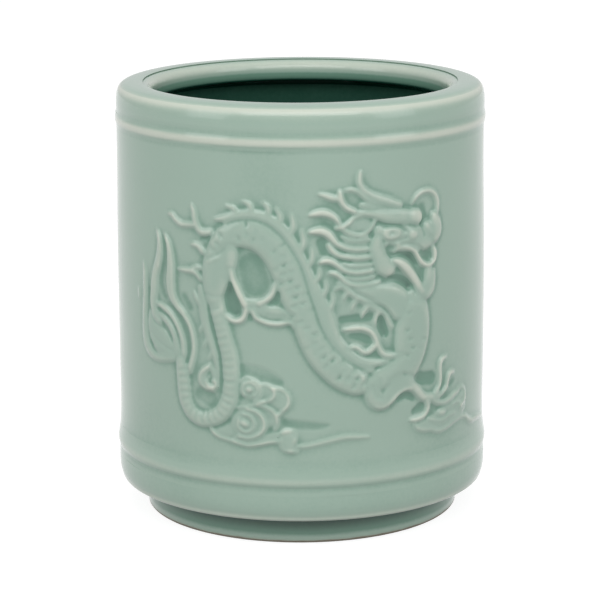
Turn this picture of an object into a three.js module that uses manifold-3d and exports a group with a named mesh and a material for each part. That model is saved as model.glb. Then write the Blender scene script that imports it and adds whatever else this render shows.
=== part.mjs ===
// A round celadon brush pot for a writing desk: a turned porcelain tube on a foot ring, with a rolled
// rim collar, two bead bands, and a low-relief dragon with clouds laid on the front of the wall.
// Millimetres, +Z up. The origin is the centre of the foot's resting face; the dragon faces -Y and
// its head is to the right, towards +X.
import * as THREE from "three";
import { mergeVertices } from "three/addons/utils/BufferGeometryUtils.js";
import Module from "manifold-3d";

const manifold = await Module();
manifold.setup();

// Overall sizes
const POT_HEIGHT = 116.1;
const WALL_RADIUS = 49.5;
const WALL_THICKNESS = 5.5;

// Foot and floor
const FOOT_HEIGHT = 7;
const FOOT_SETBACK = 7; // the foot ring's outer face stands this far inside the wall's face
const FOOT_WIDTH = 5.2;
const FOOT_EDGE_ROUND = 0.6;
const FLOOR_THICKNESS = 5.5;

// Bands round the wall
const BASE_BAND_HEIGHT = 8.2;
const BASE_BAND_SWELL = 0.45;
const BASE_EDGE_ROUND = 1.8;
const BEAD_SEAT_DEPTH = 0.6;
const LOWER_BEAD_RISE = 1.8; // from the top of the base band to the bead's underside
const LOWER_BEAD_HEIGHT = 4.6;
const LOWER_BEAD_SWELL = 0.75;
const UPPER_BEAD_DROP = 0.5; // from the bead's top down from the rim collar
const UPPER_BEAD_HEIGHT = 3.2;
const UPPER_BEAD_SWELL = 0.15;

// Rim collar
const COLLAR_HEIGHT = 7.7;
const COLLAR_SETBACK = 0.3; // the collar's face stands this far inside the wall's face
const COLLAR_OUTER_ROUND = 2.6;
const COLLAR_INNER_ROUND = 2.6;
const LIP_REACH = 4.6; // how far the rolled lip reaches in past the bore
const LIP_UNDERCUT = 1.6;

// Fits
const JOINT_GAP = 0.3; // slip-filled joint between a sprig or ring and what it is laid on
const TURNED_SIDES = 60;
const ROUND_STEPS = 4;

// Relief: drawn for a plain panel of this height and scaled to the panel between the beads
const DRAWN_PANEL_FOOT = 21.6;
const DRAWN_PANEL_HEIGHT = 83.1;
const STEPS_PER_SPAN = 2;
const EDGE_SHARE = 0.45; // height of a sprig's rim as a share of its crown
const CUTTER_DEPTH = 1;

// Heights worked out from the sizes above
const boreRadius = WALL_RADIUS - WALL_THICKNESS;
const footRadius = WALL_RADIUS - FOOT_SETBACK;
const baseBandTop = FOOT_HEIGHT + BASE_BAND_HEIGHT;
const collarFoot = POT_HEIGHT - COLLAR_HEIGHT;
const lowerBeadFoot = baseBandTop + LOWER_BEAD_RISE;
const lowerBeadTop = lowerBeadFoot + LOWER_BEAD_HEIGHT;
const upperBeadTop = collarFoot - UPPER_BEAD_DROP;
const upperBeadFoot = upperBeadTop - UPPER_BEAD_HEIGHT;
const reliefScale = (upperBeadFoot - lowerBeadTop) / DRAWN_PANEL_HEIGHT;

const celadon = (color) => new THREE.MeshStandardMaterial({ color, roughness: 0.15, metalness: 0 });
const WALL_GREEN = 0x9fb8a9;
const RELIEF_GREEN = 0xb1c6b8;
const FOOT_CLAY = 0x8f9688;

const pot = new THREE.Group();

function addNode(name, geometry, color) {
  const mesh = new THREE.Mesh(geometry, celadon(color));
  mesh.name = name;
  pot.add(mesh);
}

// Points on an arc from one angle to another, in degrees, in the turning plane (radius, height)
function arc(centreRadius, centreHeight, radius, fromDegrees, toDegrees) {
  const points = [];
  for (let i = 0; i <= ROUND_STEPS; i++) {
    const angle = THREE.MathUtils.degToRad(
      THREE.MathUtils.lerp(fromDegrees, toDegrees, i / ROUND_STEPS));
    points.push([centreRadius + radius * Math.cos(angle), centreHeight + radius * Math.sin(angle)]);
  }
  return points;
}

// Turns a profile, listed anticlockwise as (radius, height), about the pot's axis
function turned(profile) {
  const points = profile.map(([r, z]) => new THREE.Vector2(r, z));
  return new THREE.LatheGeometry(points, TURNED_SIDES).rotateX(Math.PI / 2);
}

// A ring: its profile closes on itself
const turnedRing = (profile) => turned([...profile, profile[0]]);

// A swelling band: an arc from foot to top that stands out by swell from the given radius
function swell(radius, foot, top, rise) {
  const half = (top - foot) / 2;
  const curve = (half * half + rise * rise) / (2 * rise);
  const open = THREE.MathUtils.radToDeg(Math.asin(half / curve));
  return arc(radius + rise - curve, (foot + top) / 2, curve, -open, open);
}

function footRing() {
  const inner = footRadius - FOOT_WIDTH;
  return turnedRing([
    [inner, FOOT_HEIGHT],
    ...arc(inner + FOOT_EDGE_ROUND, FOOT_EDGE_ROUND, FOOT_EDGE_ROUND, 180, 270),
    ...arc(footRadius - FOOT_EDGE_ROUND, FOOT_EDGE_ROUND, FOOT_EDGE_ROUND, 270, 360),
    [footRadius, FOOT_HEIGHT],
  ]);
}

function floorDisc() {
  const radius = boreRadius - JOINT_GAP;
  const top = FOOT_HEIGHT + FLOOR_THICKNESS;
  return turned([[0, FOOT_HEIGHT], [radius, FOOT_HEIGHT], [radius, top], [0, top]]);
}

function baseBand() {
  const edge = WALL_RADIUS - BASE_EDGE_ROUND;
  return turnedRing([
    [boreRadius, FOOT_HEIGHT],
    ...arc(edge, FOOT_HEIGHT + BASE_EDGE_ROUND, BASE_EDGE_ROUND, 270, 350),
    ...swell(WALL_RADIUS, FOOT_HEIGHT + BASE_EDGE_ROUND, baseBandTop, BASE_BAND_SWELL),
    [boreRadius, baseBandTop],
  ]);
}

// The wall has a shallow seat turned into it behind each bead
function wall() {
  const seat = WALL_RADIUS - BEAD_SEAT_DEPTH;
  return turnedRing([
    [boreRadius, baseBandTop],
    [WALL_RADIUS, baseBandTop],
    [WALL_RADIUS, lowerBeadFoot],
    [seat, lowerBeadFoot],
    [seat, lowerBeadTop],
    [WALL_RADIUS, lowerBeadTop],
    [WALL_RADIUS, upperBeadFoot],
    [seat, upperBeadFoot],
    [seat, upperBeadTop],
    [WALL_RADIUS - COLLAR_SETBACK, upperBeadTop],
    [WALL_RADIUS - COLLAR_SETBACK, collarFoot],
    [boreRadius, collarFoot],
  ]);
}

function bead(foot, top, rise) {
  const inner = WALL_RADIUS - BEAD_SEAT_DEPTH + JOINT_GAP;
  return turnedRing([[inner, foot], ...swell(WALL_RADIUS, foot, top, rise), [inner, top]]);
}

function rimCollar() {
  const face = WALL_RADIUS - COLLAR_SETBACK;
  const lip = boreRadius - LIP_REACH;
  const outerRound = COLLAR_OUTER_ROUND;
  const innerRound = COLLAR_INNER_ROUND;
  return turnedRing([
    [boreRadius, collarFoot],
    [face, collarFoot],
    ...arc(face - outerRound, POT_HEIGHT - outerRound, outerRound, 0, 90),
    ...arc(lip + innerRound, POT_HEIGHT - innerRound, innerRound, 90, 180),
    [lip, collarFoot + LIP_UNDERCUT],
  ]);
}

// Places a point of the drawn relief, (along the wall, up the wall, proud of the wall), on the tube
function onWall(along, up, proud) {
  const angle = (along * reliefScale) / WALL_RADIUS;
  const radius = WALL_RADIUS + proud;
  const height = lowerBeadTop + (up - DRAWN_PANEL_FOOT) * reliefScale;
  return [radius * Math.sin(angle), -radius * Math.cos(angle), height];
}

function solidFrom(positions, triangles) {
  const geometry = new THREE.BufferGeometry();
  geometry.setAttribute("position", new THREE.Float32BufferAttribute(positions.flat(), 3));
  geometry.setIndex(triangles.flat());
  const merged = mergeVertices(geometry, 1e-4);
  return new manifold.Manifold(new manifold.Mesh({
    numProp: 3,
    vertProperties: merged.attributes.position.array,
    triVerts: new Uint32Array(merged.index.array),
  }));
}

// One rolled stroke of clay: stations are [along, up, half width]. Its section has three points across
// the top, with the crown in the middle, and three across the underside. The body gives how proud of
// the wall the seat, edge and crown stand; growing it widens and lengthens the stroke all round.
const SECTION = 6;
const START_CAP = [[0, 1, 5], [1, 4, 5], [1, 2, 4], [2, 3, 4]];

function stroke(stations, { seat, edge, crown, grow }) {
  const curve = new THREE.CatmullRomCurve3(stations.map((p) => new THREE.Vector3(...p)));
  const steps = STEPS_PER_SPAN * (stations.length - 1);
  const positions = [];
  const triangles = [];
  for (let i = 0; i <= steps; i++) {
    const { x, y, z: halfWidth } = curve.getPoint(i / steps);
    const way = curve.getTangent(i / steps).setZ(0).normalize();
    const stretch = (i === steps ? grow : 0) - (i === 0 ? grow : 0);
    const point = (side, proud) => {
      const out = side * (halfWidth + grow);
      return onWall(x + way.x * stretch - way.y * out, y + way.y * stretch + way.x * out, proud);
    };
    positions.push(point(-1, edge), point(0, crown), point(1, edge));
    positions.push(point(1, seat), point(0, seat), point(-1, seat));
  }
  for (let i = 0; i < steps; i++) {
    for (let j = 0; j < SECTION; j++) {
      const a = i * SECTION + j;
      const b = i * SECTION + ((j + 1) % SECTION);
      triangles.push([a, a + SECTION, b], [b, a + SECTION, b + SECTION]);
    }
  }
  const last = steps * SECTION;
  triangles.push(...START_CAP, ...START_CAP.map(([a, b, c]) => [a + last, c + last, b + last]));
  return solidFrom(positions, triangles);
}

const joined = (solids) => solids.reduce((whole, next) => whole.add(next));

// A sprig: its strokes pressed into one body, seated a joint's gap off the wall
function sprigBody({ proud, strokes }) {
  const edge = JOINT_GAP + proud * EDGE_SHARE;
  const body = { seat: JOINT_GAP, edge, crown: JOINT_GAP + proud, grow: 0 };
  return joined(strokes.map((stations) => stroke(stations, body)));
}

// The room a sprig takes from those laid under it: itself and a joint's gap all round
function sprigRoom({ proud, strokes }) {
  const top = proud + CUTTER_DEPTH;
  const room = { seat: JOINT_GAP - CUTTER_DEPTH, edge: top, crown: top, grow: JOINT_GAP / reliefScale };
  return joined(strokes.map((stations) => stroke(stations, room)));
}

function geometryOf(solid) {
  const { vertProperties, triVerts } = solid.getMesh();
  const geometry = new THREE.BufferGeometry();
  geometry.setAttribute("position", new THREE.BufferAttribute(vertProperties, 3));
  geometry.setIndex(new THREE.BufferAttribute(triVerts, 1));
  return geometry;
}

// Short tapered spines, each from its root to its tip
const SPINE_ROOT_HALF = 0.8;
const SPINE_TIP_HALF = 0.35;
const spines = (list) => list.map(([rootAlong, rootUp, tipAlong, tipUp]) =>
  [[rootAlong, rootUp, SPINE_ROOT_HALF], [tipAlong, tipUp, SPINE_TIP_HALF]]);

// The relief, from the sprigs that lie on top to those under them. Each gives its strokes, which run
// through [along the wall from the front, height, half width], and how far it stands proud.
const SPRIGS = [
  // Head
  { name: "whisker", proud: 0.9, strokes: [
    [[30.6, 90.2, 0.5], [32, 91.9, 0.6], [34.3, 92.6, 0.6],
      [37.2, 91.8, 0.6], [38.8, 89, 0.6], [38.7, 86.6, 0.6]],
  ] },
  { name: "horn_long", proud: 1.1, strokes: [
    [[15, 98.6, 0.4], [15.3, 95.8, 0.8], [17.8, 93, 1], [21, 91.7, 1], [25.6, 90.6, 1]],
    [[11.3, 94.4, 0.4], [14, 94, 0.8], [16.6, 92.6, 0.9], [18.6, 91.9, 0.9]],
  ] },
  { name: "horn_forked", proud: 1.1, strokes: [
    [[4.4, 93.7, 0.4], [7, 93, 0.9], [9.6, 92, 1], [11.4, 90.7, 1], [14.2, 89.9, 0.7]],
    [[9.9, 94.6, 0.5], [9.7, 92.4, 0.8]],
  ] },
  { name: "nose", proud: 2, strokes: [
    [[38.2, 85.2, 1.3], [38.4, 82.4, 2.1], [37.6, 80, 1.5]],
  ] },
  { name: "brow", proud: 1.9, strokes: [
    [[16.5, 89.2, 0.8], [21, 88.1, 1.2], [26, 87.4, 1.5], [30, 86.6, 1.9], [32.4, 86.2, 1.7]],
  ] },
  { name: "ear", proud: 1.2, strokes: [
    [[9.5, 85, 0.4], [12, 84.7, 1.3], [15.5, 85.2, 2], [18.2, 86, 1.2]],
  ] },
  { name: "lip", proud: 1.6, strokes: [
    [[30.4, 77.4, 0.7], [32, 75.2, 0.8], [34, 73.6, 0.8],
      [36.4, 73.8, 0.8], [37.5, 75.6, 0.8], [37.1, 77.6, 0.7]],
  ] },
  { name: "jaw", proud: 1.8, strokes: [
    [[24.3, 75.3, 1], [27, 74, 1.3], [29.6, 71.8, 1.5], [31.8, 69, 1.7], [33.6, 66.6, 1.8]],
    [[36.4, 70.4, 0.9], [36, 68, 1.5], [34, 66.4, 1.7]],
  ] },
  { name: "cheek", proud: 1.9, strokes: [
    [[19.6, 80.2, 2], [21.4, 77.4, 2.6], [22, 74.4, 2.2]],
  ] },
  { name: "face", proud: 1.6, strokes: [
    [[22, 83.6, 1.8], [26, 82, 3.2], [30, 81, 3.6], [34, 80.4, 2.6], [36, 80, 1.6]],
  ] },
  // Mane, from the top lock to the bottom one
  { name: "mane_lock_1", proud: 1.1, strokes: [
    [[2.3, 88.5, 0.4], [4.4, 89.3, 0.8], [7, 88.7, 0.9], [9.4, 86.9, 0.8]],
  ] },
  { name: "mane_lock_2", proud: 1.3, strokes: [
    [[2.3, 84, 0.4], [4.6, 84.3, 1], [6.6, 83.4, 1.1],
      [8.6, 81, 1.1], [11, 79.6, 1.2], [17, 78.8, 1.4]],
  ] },
  { name: "mane_lock_3", proud: 1.3, strokes: [
    [[4.7, 76.6, 0.4], [7, 76.8, 0.8], [9.2, 75.3, 1], [12, 74.3, 1.3], [18.6, 74.4, 1.5]],
  ] },
  { name: "mane_lock_4", proud: 1.2, strokes: [
    [[7.2, 73.2, 0.4], [9.4, 72.4, 0.6], [12, 70.9, 0.9], [15, 70.5, 1], [20, 71, 1]],
  ] },
  // Claws
  { name: "raised_claw", proud: 1.2, strokes: [
    [[10.8, 58.9, 0.4], [13.1, 59.2, 0.8], [15.6, 58.8, 0.9],
      [17.8, 57.6, 1], [19.3, 55.9, 1.1], [20, 54, 1.2]],
    [[11.8, 54, 0.4], [13.3, 54.2, 0.7], [14.8, 53.3, 0.8],
      [16.6, 52.4, 0.9], [18.6, 53, 1], [20, 54, 1.2]],
    [[20, 54, 1.2], [21.5, 52.3, 1.4], [23, 51, 1.2]],
  ] },
  { name: "fore_claw_1", proud: 1.2, strokes: [
    [[34.8, 36, 0.6], [35.6, 34.6, 0.8], [34.4, 33.3, 0.8], [32.3, 32.9, 0.6], [30.5, 32.9, 0.4]],
  ] },
  { name: "fore_claw_2", proud: 1.2, strokes: [
    [[38.4, 39.8, 0.9], [40, 42, 0.8], [40, 45.5, 0.7], [41, 47.4, 0.6], [42.4, 48, 0.4]],
  ] },
  { name: "fore_claw_3", proud: 1.2, strokes: [
    [[41, 38.4, 0.8], [42.8, 39.6, 0.8], [44.2, 42.4, 0.7], [46, 42.9, 0.4]],
  ] },
  { name: "fore_claw_4", proud: 1.1, strokes: [
    [[39, 36, 0.8], [41.5, 35.6, 1], [44.6, 36.1, 0.9], [48.4, 37.4, 0.4]],
  ] },
  { name: "hind_claw_1", proud: 1, strokes: [
    [[-25.6, 82.8, 0.8], [-27.6, 83.8, 0.9], [-28.6, 86, 0.7], [-29.5, 89.4, 0.4]],
    [[-28, 84.4, 0.8], [-31.5, 84.6, 0.8], [-34.5, 85.8, 0.7], [-37.2, 86.6, 0.4]],
  ] },
  { name: "hind_claw_2", proud: 1, strokes: [
    [[-26, 77.8, 0.8], [-27.4, 79.2, 0.8], [-29.6, 79.8, 0.4]],
  ] },
  { name: "hind_claw_3", proud: 1, strokes: [
    [[-27.4, 72, 0.9], [-29.5, 73, 0.8], [-34, 72.7, 0.4]],
  ] },
  // Body
  { name: "foreleg", proud: 1.8, strokes: [
    [[16.4, 44.3, 0.9], [17.2, 41, 1.4], [19, 38.7, 1.7],
      [21.6, 38.8, 1.7], [24.4, 41, 2], [28, 42, 2.2]],
    [[28, 42, 2.2], [31, 41, 1.9], [33.6, 38.9, 1.6], [37.4, 37.8, 1.5]],
  ] },
  { name: "neck_spines", proud: 1, strokes: [
    [[11, 68, 0.5], [13.6, 65.2, 0.9], [17, 62.8, 1], [20.5, 60.6, 1], [22.6, 57.4, 0.7]],
    ...spines([[12.4, 66.4, 9.4, 67.2], [15, 64, 12.6, 63.4], [18.4, 61.8, 16, 61]]),
  ] },
  { name: "chest", proud: 2, strokes: [
    [[12.6, 69, 0.6], [16.5, 67.6, 1.5], [21, 65.9, 2.2], [26, 64.5, 3]],
    [[28.4, 67.4, 3.4], [29.6, 62, 5.4], [30.2, 57, 5.8],
      [28.6, 51.6, 5.8], [24, 47.2, 4.6], [20.4, 45.4, 3.4]],
  ] },
  { name: "dorsal_fin", proud: 1, strokes: [
    [[-20, 88, 0.6], [-16, 88.9, 1.2], [-11, 89.2, 1.3], [-6.8, 87, 1.4], [-2.6, 83, 1.4],
      [0.2, 78, 1.4], [2.6, 71.5, 1.6], [4.6, 65.5, 1.8], [7.2, 59, 1.7], [9.8, 54.6, 1.5],
      [13, 51.8, 1.1], [17.5, 50.4, 0.7]],
    ...spines([
      [-17, 89, -18, 91.2], [-12.8, 89.4, -13.6, 92.2], [-8.6, 88.4, -9.2, 92], [-5.2, 86, -5.4, 90.2],
      [-2.6, 83.6, -2, 88.6], [-0.2, 79.4, 1, 84.6], [1.8, 75, 3.2, 79.8], [3.4, 70.4, 5.2, 74.2],
      [4.8, 66.6, 6.8, 70], [6, 63, 8.2, 66.4],
    ]),
  ] },
  { name: "body_coil", proud: 1.8, strokes: [
    [[-16.2, 80.2, 1.6], [-15.2, 83.1, 3.6], [-11.8, 83.6, 4], [-7.4, 80.5, 4], [-3.9, 75, 4],
      [-1.2, 67, 3.7], [1.3, 60, 3.4], [4.6, 53, 3.8], [9.2, 47.6, 3.8], [14.6, 44.8, 3.4]],
  ] },
  { name: "elbow_flame", proud: 1.4, strokes: [
    [[-17.2, 71, 0.8], [-16.2, 69.3, 1], [-14.7, 66.8, 1], [-13.2, 64.2, 1.2]],
    [[-17.4, 61.2, 0.7], [-16, 61.1, 0.9], [-14.6, 62.2, 0.9], [-13.2, 64.2, 1.1]],
    [[-13.2, 64.2, 1.2], [-11.6, 62.8, 1.1], [-9.4, 61.6, 1.1], [-6.7, 61.2, 1], [-3.4, 61.6, 0.7]],
    [[-12.4, 64.6, 1.2], [-9.5, 64.6, 1.8], [-6, 63.4, 1.6]],
    [[-10.4, 65.6, 1], [-8.2, 67.2, 0.8], [-7, 68.9, 0.7], [-5.9, 71.4, 0.4]],
  ] },
  { name: "thigh", proud: 1.9, strokes: [
    [[-20.4, 83.6, 2.2], [-20.6, 79, 4], [-21.8, 75, 4.4], [-22.4, 71.4, 3.6]],
  ] },
  { name: "tail", proud: 1.7, strokes: [
    [[-21.4, 70, 2], [-20.8, 64, 2.3], [-19.8, 58, 2.3], [-18.5, 50, 2.4], [-18.3, 42, 2.4],
      [-20.8, 36.4, 2.2], [-26, 34, 2.1], [-30.9, 36.4, 2.2], [-32.4, 41.5, 2.2], [-32.6, 45, 2.1]],
  ] },
  { name: "tail_fin", proud: 0.9, strokes: [
    [[-27.3, 68.6, 0.5], [-26.3, 62, 1], [-24.6, 56, 1.1], [-22.6, 50.6, 0.6]],
  ] },
  { name: "tail_plume", proud: 1.7, strokes: [
    [[-47.5, 71.7, 0.4], [-47.2, 62, 1], [-47, 54, 1.6],
      [-44.5, 48.9, 1.6], [-40, 48.8, 1.6], [-34, 48.6, 1.6]],
    [[-41.4, 81.6, 0.4], [-40.8, 76, 1.2], [-42.4, 70, 1.8],
      [-43.6, 62, 2.2], [-42, 55, 3], [-38.5, 50.5, 2.5]],
    [[-38.6, 81.1, 0.4], [-36.4, 76, 1.3], [-36.2, 69, 1.8],
      [-34, 62.5, 2], [-31, 57, 2.1], [-30.4, 51, 1.6]],
    [[-41, 61, 1], [-37, 58, 2.2], [-34.2, 53, 2.6], [-34, 48.6, 2]],
  ] },
  // Clouds
  { name: "cloud_curl", proud: 1, strokes: [
    [[-24.4, 48.8, 0.5], [-26.2, 46.8, 1], [-26.6, 44.6, 1.1],
      [-25.2, 42.8, 1.1], [-23.4, 42.8, 0.8]],
    [[-24.2, 46.2, 0.7], [-24.1, 44, 1.1], [-24.2, 42.9, 1]],
  ] },
  { name: "cloud_scrolls", proud: 1.3, strokes: [
    [[-14.6, 44.4, 1.6], [-12.4, 43, 2.4], [-9.4, 42.4, 2.6], [-5.8, 41, 2.6]],
    [[-15.4, 34.6, 3], [-13, 34.4, 4], [-9, 36, 3.6], [-6.8, 39, 2.4]],
    [[-22.4, 30.7, 0.6], [-19, 30.2, 1.2], [-14, 30, 1.8], [-9, 31.2, 1.6], [-6.6, 31.4, 1.2]],
    [[-13.5, 42, 2], [-12, 36, 2.4]],
  ] },
  { name: "cloud_knot", proud: 1.4, strokes: [
    [[-3.9, 32, 1.6], [-3.4, 30.1, 2.1], [-2.9, 28.2, 1.4]],
  ] },
  { name: "cloud_wisp", proud: 0.7, strokes: [
    [[-0.4, 29.2, 0.7], [4, 29.2, 0.8], [10, 30.3, 0.8], [17.3, 30.1, 0.4]],
  ] },
  { name: "claw_cloud", proud: 0.8, strokes: [
    [[31.4, 31, 0.5], [34, 30, 0.9], [38, 30, 1.8], [42, 31, 2.6],
      [46, 32, 3], [50, 33, 2.6], [51.4, 36, 1]],
    [[49, 31.4, 1.2], [55, 28, 0.8], [61, 27, 0.7], [70, 25.6, 0.4]],
  ] },
];

addNode("foot_ring", footRing(), FOOT_CLAY);
addNode("floor_disc", floorDisc(), WALL_GREEN);
addNode("base_band", baseBand(), WALL_GREEN);
addNode("wall", wall(), WALL_GREEN);
addNode("lower_bead", bead(lowerBeadFoot, lowerBeadTop, LOWER_BEAD_SWELL), WALL_GREEN);
addNode("upper_bead", bead(upperBeadFoot, upperBeadTop, UPPER_BEAD_SWELL), WALL_GREEN);
addNode("rim_collar", rimCollar(), WALL_GREEN);

const rooms = [];
for (const sprig of SPRIGS) {
  const fitted = rooms.reduce((solid, room) => solid.subtract(room), sprigBody(sprig));
  addNode(sprig.name, geometryOf(fitted), RELIEF_GREEN);
  rooms.push(sprigRoom(sprig));
}

export default pot;
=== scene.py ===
"""A celadon brush pot with a dragon in raised clay on its wall, dressed over its CAD frame.

Clay measures are in millimetres until a mesh is made; meshes are in metres.
"""
from __future__ import annotations

import logging
import math
from dataclasses import dataclass
from enum import Enum
from typing import Any, Callable, Sequence

import bpy
import numpy as np
from mathutils import Matrix, Vector


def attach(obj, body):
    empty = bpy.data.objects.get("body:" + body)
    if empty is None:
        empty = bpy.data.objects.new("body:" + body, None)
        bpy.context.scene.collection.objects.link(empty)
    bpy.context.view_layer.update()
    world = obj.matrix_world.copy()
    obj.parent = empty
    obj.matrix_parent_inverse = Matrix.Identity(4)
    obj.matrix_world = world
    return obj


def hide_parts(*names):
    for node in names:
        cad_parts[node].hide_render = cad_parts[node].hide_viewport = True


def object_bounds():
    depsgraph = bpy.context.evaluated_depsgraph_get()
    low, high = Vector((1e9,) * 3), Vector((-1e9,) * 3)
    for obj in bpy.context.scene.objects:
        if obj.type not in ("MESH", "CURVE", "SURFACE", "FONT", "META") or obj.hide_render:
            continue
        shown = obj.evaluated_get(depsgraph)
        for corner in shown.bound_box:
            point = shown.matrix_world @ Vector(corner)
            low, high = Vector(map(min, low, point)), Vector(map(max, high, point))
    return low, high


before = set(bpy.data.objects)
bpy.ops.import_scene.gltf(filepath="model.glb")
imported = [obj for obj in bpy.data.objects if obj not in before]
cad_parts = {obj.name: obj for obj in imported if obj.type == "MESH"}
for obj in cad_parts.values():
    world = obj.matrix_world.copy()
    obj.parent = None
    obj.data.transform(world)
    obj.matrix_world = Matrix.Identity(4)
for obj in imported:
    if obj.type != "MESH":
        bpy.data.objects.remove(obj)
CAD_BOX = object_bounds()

LOG = logging.getLogger("brush_pot")
MM = 0.001
# Glaze depth at each point; in the bore, under the lip, under the base band and on the upper foot it also
# holds painted shade.
POOL_AND_SHADE = "glaze_pool_and_shade"

Point = tuple[float, float, float]
Socket = bpy.types.NodeSocket


class Slot(Enum):
    """The record's material slots."""

    GLAZE = "celadon_glaze"
    RELIEF = "relief_glaze"
    FOOT = "foot_glaze_and_clay"


class Wiring:
    """Adds nodes to a tree and wires them together."""

    def __init__(self, tree: bpy.types.NodeTree) -> None:
        """Keeps the tree that the nodes go into.

        Args:
            tree: a shader tree or a Geometry Nodes tree.
        """
        self.tree = tree

    def add(self, kind: str, inputs: dict[str | int, Any] | None = None, **settings: Any) -> bpy.types.Node:
        """Adds one node.

        Args:
            kind: the node's type name.
            inputs: for each input socket, a value or the socket that feeds it.
            settings: properties set on the node itself.

        Returns:
            The new node.
        """
        node = self.tree.nodes.new(kind)
        for name, value in settings.items():
            setattr(node, name, value)
        for key, value in (inputs or {}).items():
            if isinstance(value, Socket):
                self.tree.links.new(value, node.inputs[key])
            else:
                node.inputs[key].default_value = value
        return node

    def math(self, operation: str, a: Socket | float, b: Socket | float = 0.0) -> Socket:
        """Adds a Math node.

        Args:
            operation: the operation's name, such as ADD.
            a: first value or socket.
            b: second value or socket.

        Returns:
            The result's socket.
        """
        return self.add("ShaderNodeMath", {0: a, 1: b}, operation=operation).outputs[0]

    def point(self, **parts: Socket) -> Socket:
        """Joins coordinates, named X, Y and Z, into a point."""
        return self.add("ShaderNodeCombineXYZ", parts).outputs[0]

    def parts(self, point: Socket) -> bpy.types.NodeOutputs:
        """Splits a point into X, Y and Z."""
        return self.add("ShaderNodeSeparateXYZ", {0: point}).outputs

    def remap(self, value: Socket, **ends: Socket | float) -> Socket:
        """Adds a Map Range node.

        Args:
            value: the value's socket.
            ends: From_Min, From_Max, To_Min and To_Max, which are 0 and 1 where they are left out.

        Returns:
            The result's socket.
        """
        named = {end.replace("_", " "): number for end, number in ends.items()}
        return self.add("ShaderNodeMapRange", {"Value": value, **named}).outputs[0]

    def noise(self, place: Socket, scale: float, detail: float, roughness: float = 0.5) -> Socket:
        """Adds a Noise Texture.

        Args:
            place: the coordinates it is read at.
            scale: how many of its lumps lie in a metre.
            detail: how many finer layers it has.
            roughness: how strong each finer layer is.

        Returns:
            The noise's socket.
        """
        return self.add("ShaderNodeTexNoise", {
            "Vector": place, "Scale": scale, "Detail": detail, "Roughness": roughness}).outputs[0]


class ModellingTree:
    """A Geometry Nodes tree with named inputs, run on a mesh and turned into a plain mesh."""

    def __init__(self, name: str, inputs: dict[str, str]) -> None:
        """Makes the tree's sockets; the sub-class wires what lies between.

        Args:
            name: the tree's name.
            inputs: each input's name and socket type, after the geometry and before the material.
        """
        self.tree = bpy.data.node_groups.new(name, "GeometryNodeTree")
        sockets = {"Geometry": "NodeSocketGeometry", **inputs, "Material": "NodeSocketMaterial"}
        self.keys = {
            label: self.tree.interface.new_socket(label, in_out="INPUT", socket_type=kind).identifier
            for label, kind in sockets.items()
        }
        self.tree.interface.new_socket("Geometry", in_out="OUTPUT", socket_type="NodeSocketGeometry")
        self.wiring = Wiring(self.tree)
        self.source = self.wiring.add("NodeGroupInput").outputs
        self.close(self.wire())

    def wire(self) -> Socket:
        """Wires the tree, up to the socket of the finished geometry."""
        raise NotImplementedError

    def store(self, geometry: Socket, name: str, value: Socket, domain: str = "POINT") -> Socket:
        """Stores a number on the geometry.

        Args:
            geometry: the geometry's socket.
            name: the attribute's name.
            value: the number's socket.
            domain: what it is stored on.

        Returns:
            The geometry's socket.
        """
        return self.wiring.add(
            "GeometryNodeStoreNamedAttribute", {"Geometry": geometry, "Name": name, "Value": value},
            data_type="FLOAT", domain=domain).outputs[0]

    def stored(self, name: str) -> Socket:
        """Reads a number that was stored on the geometry."""
        return self.wiring.add(
            "GeometryNodeInputNamedAttribute", {"Name": name}, data_type="FLOAT").outputs[0]

    def position(self) -> Socket:
        """Reads where each point lies."""
        return self.wiring.add("GeometryNodeInputPosition").outputs[0]

    def close(self, geometry: Socket) -> None:
        """Ends the tree in Realize Instances and Set Material.

        Args:
            geometry: the socket of the finished geometry.
        """
        real = self.wiring.add("GeometryNodeRealizeInstances", {"Geometry": geometry})
        dressed = self.wiring.add(
            "GeometryNodeSetMaterial", {"Geometry": real.outputs[0], "Material": self.source["Material"]})
        self.wiring.add("NodeGroupOutput", {"Geometry": dressed.outputs[0]})

    def run(self, mesh: bpy.types.Mesh, material: bpy.types.Material | None = None, **values: Any
            ) -> bpy.types.Mesh:
        """Runs the tree on a mesh.

        Args:
            mesh: the mesh that goes in; it is used up.
            material: the finish of the result.
            values: the named inputs.

        Returns:
            The result as a plain mesh.
        """
        carrier = bpy.data.objects.new("carrier", mesh)
        bpy.context.scene.collection.objects.link(carrier)
        modifier = carrier.modifiers.new(self.tree.name, "NODES")
        modifier.node_group = self.tree
        modifier[self.keys["Material"]] = material
        for label, value in values.items():
            modifier[self.keys[label]] = value
        made = bpy.data.meshes.new_from_object(carrier.evaluated_get(bpy.context.evaluated_depsgraph_get()))
        carrier.modifiers.remove(modifier)
        bpy.data.objects.remove(carrier)
        bpy.data.meshes.remove(mesh)
        return made


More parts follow.
